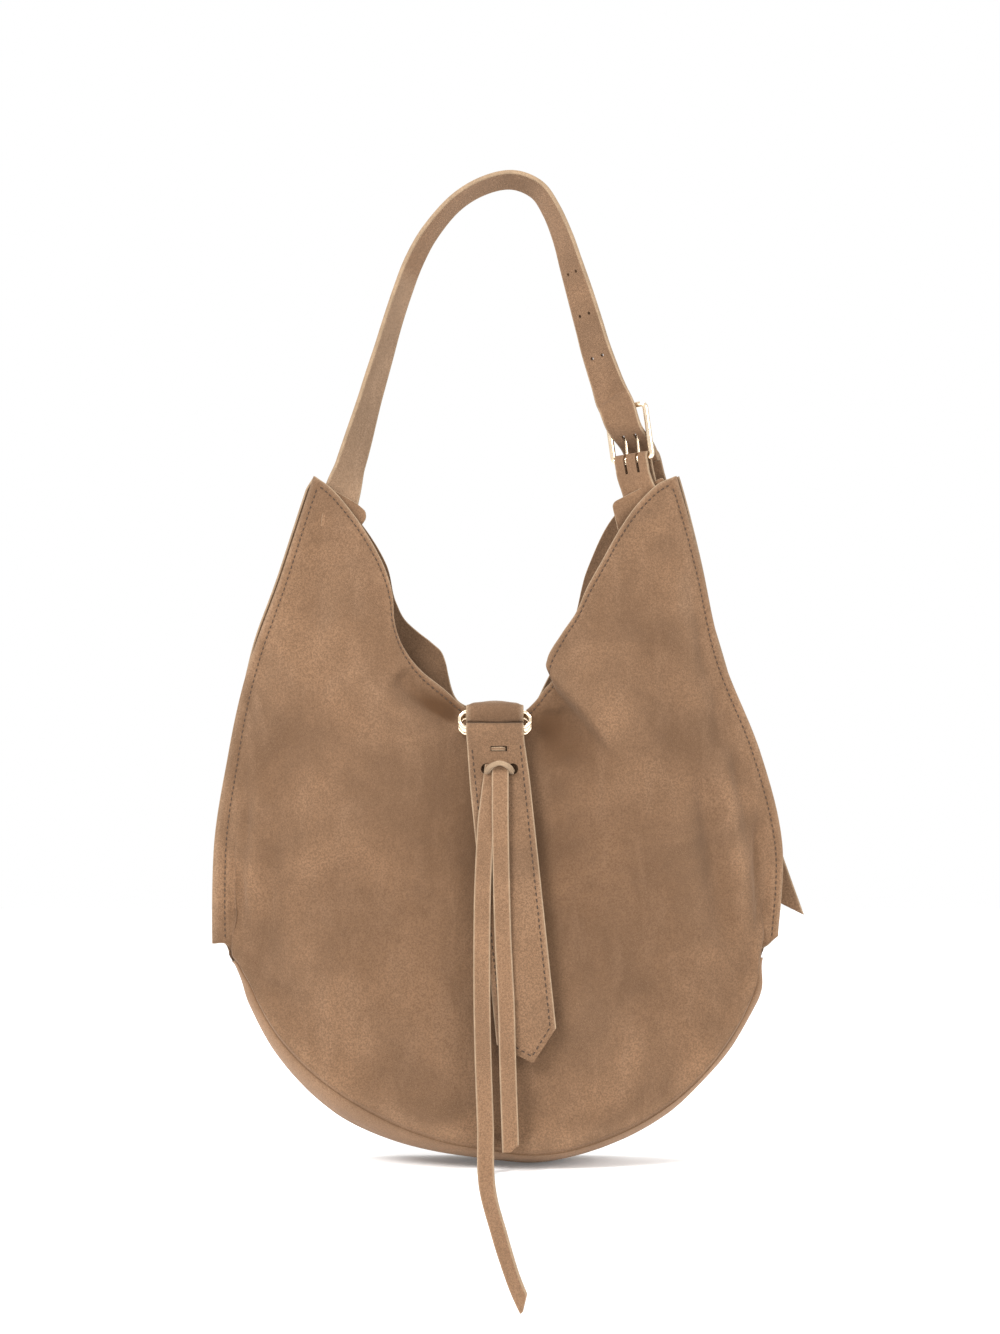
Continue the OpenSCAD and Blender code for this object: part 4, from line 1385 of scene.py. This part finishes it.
def ring():
    """A polished ring with cut corners: two rims, the back one a little lower, with a band between."""
    hw, hh, c = (RING_W - WIRE_D) / 2, 5.0, 3.0

    def octagon(zc, y):
        z0, z1 = zc - hh, zc + hh
        key = [
            [-hw + c, z0], [hw - c, z0], [hw, z0 + c], [hw, z1 - c],
            [hw - c, z1], [-hw + c, z1], [-hw, z1 - c], [-hw, z0 + c],
        ]
        fine = rounded(key, 1.1, 6)
        return np.stack([CLOSURE_X + fine[:, 0], np.full(len(fine), y), fine[:, 1]], 1)

    front_z, back_z = -368.2, -372.7
    a, b = octagon(front_z, RING_Y - 1.6), octagon(back_z, RING_Y + 2.6)
    parts = [tube(a, 1.35, 16, True), tube(b, 1.25, 16, True)]
    walls = []
    for grow in (0.6, -0.6):
        for loop, z in ((a, front_z), (b, back_z)):
            walls.append(loop + unit(loop * [1, 0, 1] - np.array([CLOSURE_X, 0, z])) * grow)
    m = len(a)
    ids = np.arange(m)
    after = (ids + 1) % m
    sheet = []
    for p, q in ((0, 1), (1, 3), (3, 2), (2, 0)):
        sheet += np.stack([p * m + ids, p * m + after, q * m + after, q * m + ids], 1).tolist()
    parts.append((np.concatenate(walls), sheet))
    gold_piece("closure_ring_gold", *joined(parts), "ring", "closure_ring")


ring()

TONGUE_TOP = RING_LOW - 3.2
TONGUE_TIP = RING_LOW - TONGUE_L - 2
TONGUE_DEPTHS = [[RING_Y], [-34.8], [-42], [-46.5], [-49], [-49], [-48]]
TONGUE_LEAN = 0.105
TONGUE_FLARE = 0.05
POINT_AT = 0.56
PLY = 1.9


def tongue_y(z):
    return curve(TONGUE_DEPTHS, np.clip((TONGUE_TOP - z) / (TONGUE_TOP - TONGUE_TIP), 0, 1))[..., 0]


def tongue_x(z):
    return CLOSURE_X + TONGUE_LEAN * (RING_LOW - z)


def tongue():
    """One long strip folded over the ring's lower bar, its two layers sewn together below, cut to a slanted point."""
    z_back = np.linspace(TONGUE_TIP, TONGUE_TOP - 7.5, 18)

    def leg(z, out):
        return np.stack([tongue_x(z), tongue_y(z) + out, z], 1).tolist()

    loop = [[CLOSURE_X + 0.4, -23.2, -382.5]]
    for y, z in (
        (-21.6, -379.2), (-22, -376.4), (-24.4, -375), (-28.4, -372.4), (-31, -371.2), (-32.7, -372.4), (-33.1, -375.2),
    ):
        loop.append([CLOSURE_X, y, z])
    loop.append([CLOSURE_X + 0.3, -32, -379.8])
    path = Path(leg(z_back, 1.02) + loop + leg(z_back[::-1], -1.02), always([1, 0, 0]), 3000)

    def point_cut(a):
        s = np.clip(a / TONGUE_W + 0.5, 0, 1)
        return np.where(s < POINT_AT, 15 * (POINT_AT - s) / POINT_AT, 22 * (s - POINT_AT) / (1 - POINT_AT))

    top = path.along([CLOSURE_X, -31, -371.2])

    def soft(d, a):
        """Long slow waves, the same on both layers, and one side edge that stands off a little."""
        layer = np.where(d > top, 1, -1)
        down = np.abs(d - top)
        wave = 0.4 * smooth((down - 30) / 60) * np.sin((d - top) * layer / 31.0 + 0.6)
        return layer * (wave + 0.35 * smooth((a - 12) / 8) * smooth((down - 60) / 80))

    o = strip(
        "tongue_suede", path, TONGUE_W, PLY, [SUEDE_TONGUE, EDGE], "tongue", ["tongue_face", "tongue_backing"],
        step=1.25, cols=27, end_cut=point_cut, start_cut=point_cut, lift=soft, groove=0.0,
        width=lambda d: 1 + TONGUE_FLARE * smooth((np.abs(d - path.length / 2) - 10) / 40),
    )
    # the thong's two round holes, and the slit above them
    tools = [rod([x, -10, -401.6], [x, -60, -401.6], 3.7, 28) for x in (-17.4, 0.4)]
    cut(o, tools + [box([-9.0, -36, -388], 5.6, 1.7, 24, *np.eye(3))])
    # stitches down both sides and round the point, on the front layer
    inset = 4.1
    half = TONGUE_W / 2 * (1 + TONGUE_FLARE) - inset
    tip = (POINT_AT - 0.5) * TONGUE_W
    start = path.along([tongue_x(-386), tongue_y(-386) - 1, -386])
    side_end = lambda a: path.length - float(point_cut(np.array([a]))[0]) - inset
    t = np.linspace(0, 1, 200)
    lines = [(lerp(start, side_end(a) - 1.0, t), np.full(200, a)) for a in (-half, half)]
    lines += [(lerp(side_end(a) - 1.0, side_end(tip) - 0.6, t), lerp(a, tip, t)) for a in (-half, half)]
    parts = []
    for d, a in lines:
        parts += sewn(path.at(d, a, soft(d, a) - PLY / 2), -path.facing(d), 4.3, 2.7)
    stitch_object("tongue_stitching", parts, "tongue")


tongue()


def knot():
    """The loop of the thong that crosses the tongue and goes in at the two holes."""
    route = [
        [-16.2, -28, -403.4], [-16.4, -33.6, -403.4], [-16.3, -37.6, -402.6], [-14.2, -40.4, -399.6],
        [-8.5, -41.6, -397.4], [-2.8, -40.4, -399.6], [-0.7, -37.6, -402.6], [-0.6, -33.6, -403.4], [-0.8, -28, -403.4],
    ]

    def across(s, p, ahead):
        out = p - np.array([-8.6, -30, -398])
        out[:, 2] *= 0.35
        return unit(np.cross(unit(np.cross(out, ahead)), ahead)) + 0 * p

    path = Path(route, across, 900)
    strip("thong_loop_suede", path, 4.2, 3.4, [EDGE, EDGE], "tongue", ["thong_knot"], step=0.6, cols=9, groove=0.2)
    # where the thong shows through the slit above the loop
    y = tongue_y(-388) - 1.02
    route = [[-14.0, y + 0.5, -388.1], [-10, y - 0.1, -388], [-7, y - 0.2, -388], [-4.6, y + 1.2, -388.2]]
    bridge = Path(route, always([0, 0, 1]), 200)
    strip("thong_bridge_suede", bridge, 2.7, 1.7, [SUEDE_TONGUE, EDGE], "tongue", step=0.5, cols=9)


knot()


# ---- CAD pieces whose shape stays: the snap's discs ----

for node in ("snap_socket", "snap_socket_washer", "snap_stud"):
    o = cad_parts[node]
    o.data.materials.clear()
    o.data.materials.append(NICKEL)
    at = np.zeros(len(o.data.vertices) * 3, np.float32)
    o.data.vertices.foreach_get("co", at)
    store_rest(o.data, at)


# ---- Floor and light ----


SHELF_Z, SHELF_FRONT, LOW_Z = -0.6727, -0.0495, -0.80


def stage():
    """A plain pale floor, in metres: a low shelf that ends just in front of the bag, and soft light."""
    white = Nodes("floor_white")
    soft = white.range(white.noise(4, 2.0, 0.5), 0.3, 0.7)
    white.set(
        white.shader,
        {
            "Base Color": white.mix(soft, (0.93, 0.93, 0.93, 1), (0.96, 0.96, 0.96, 1)),
            "Roughness": 0.9,
            "Specular IOR Level": 0.1,
            "Emission Color": (1, 1, 1, 1),
            "Emission Strength": 0.1,
        },
    )
    profile = [
        (2.5, SHELF_Z), (SHELF_FRONT + 0.004, SHELF_Z), (SHELF_FRONT + 0.0012, SHELF_Z - 0.0012),
        (SHELF_FRONT, SHELF_Z - 0.004), (SHELF_FRONT, LOW_Z + 0.03), (SHELF_FRONT - 0.009, LOW_Z + 0.009),
        (SHELF_FRONT - 0.03, LOW_Z), (-4.0, LOW_Z),
    ]
    points = [(x, y, z) for y, z in profile for x in (-4.0, 4.0)]
    faces = [(2 * k, 2 * k + 1, 2 * k + 3, 2 * k + 2) for k in range(len(profile) - 1)]
    me = bpy.data.meshes.new("floor")
    me.from_pydata(points, [], faces)
    me.materials.append(white.mat)
    store_rest(me, points)
    floor = bpy.data.objects.new("floor", me)
    bpy.context.scene.collection.objects.link(floor)
    world = bpy.data.worlds.new("studio")
    world.use_nodes = True
    background = world.node_tree.nodes["Background"]
    background.inputs["Color"].default_value = (1, 1, 1, 1)
    background.inputs["Strength"].default_value = 1.0
    bpy.context.scene.world = world
    for name, at, aim, size, power in (
        ("key", (-1.3, -1.7, 1.0), (0, 0, -0.42), 1.1, 80),
        ("fill", (1.7, -1.7, 0.5), (0, 0, -0.42), 1.4, 42),
        ("top", (0.1, 0.4, 1.6), (0, 0, -0.4), 1.4, 20),
    ):
        light = bpy.data.lights.new(name, "AREA")
        light.shape = "DISK"
        light.size = size
        light.energy = power
        o = bpy.data.objects.new(name, light)
        o.location = at
        o.rotation_euler = (Vector(aim) - Vector(at)).to_track_quat("-Z", "Y").to_euler()
        bpy.context.scene.collection.objects.link(o)
    bpy.context.scene.view_settings.view_transform = "Standard"


stage()
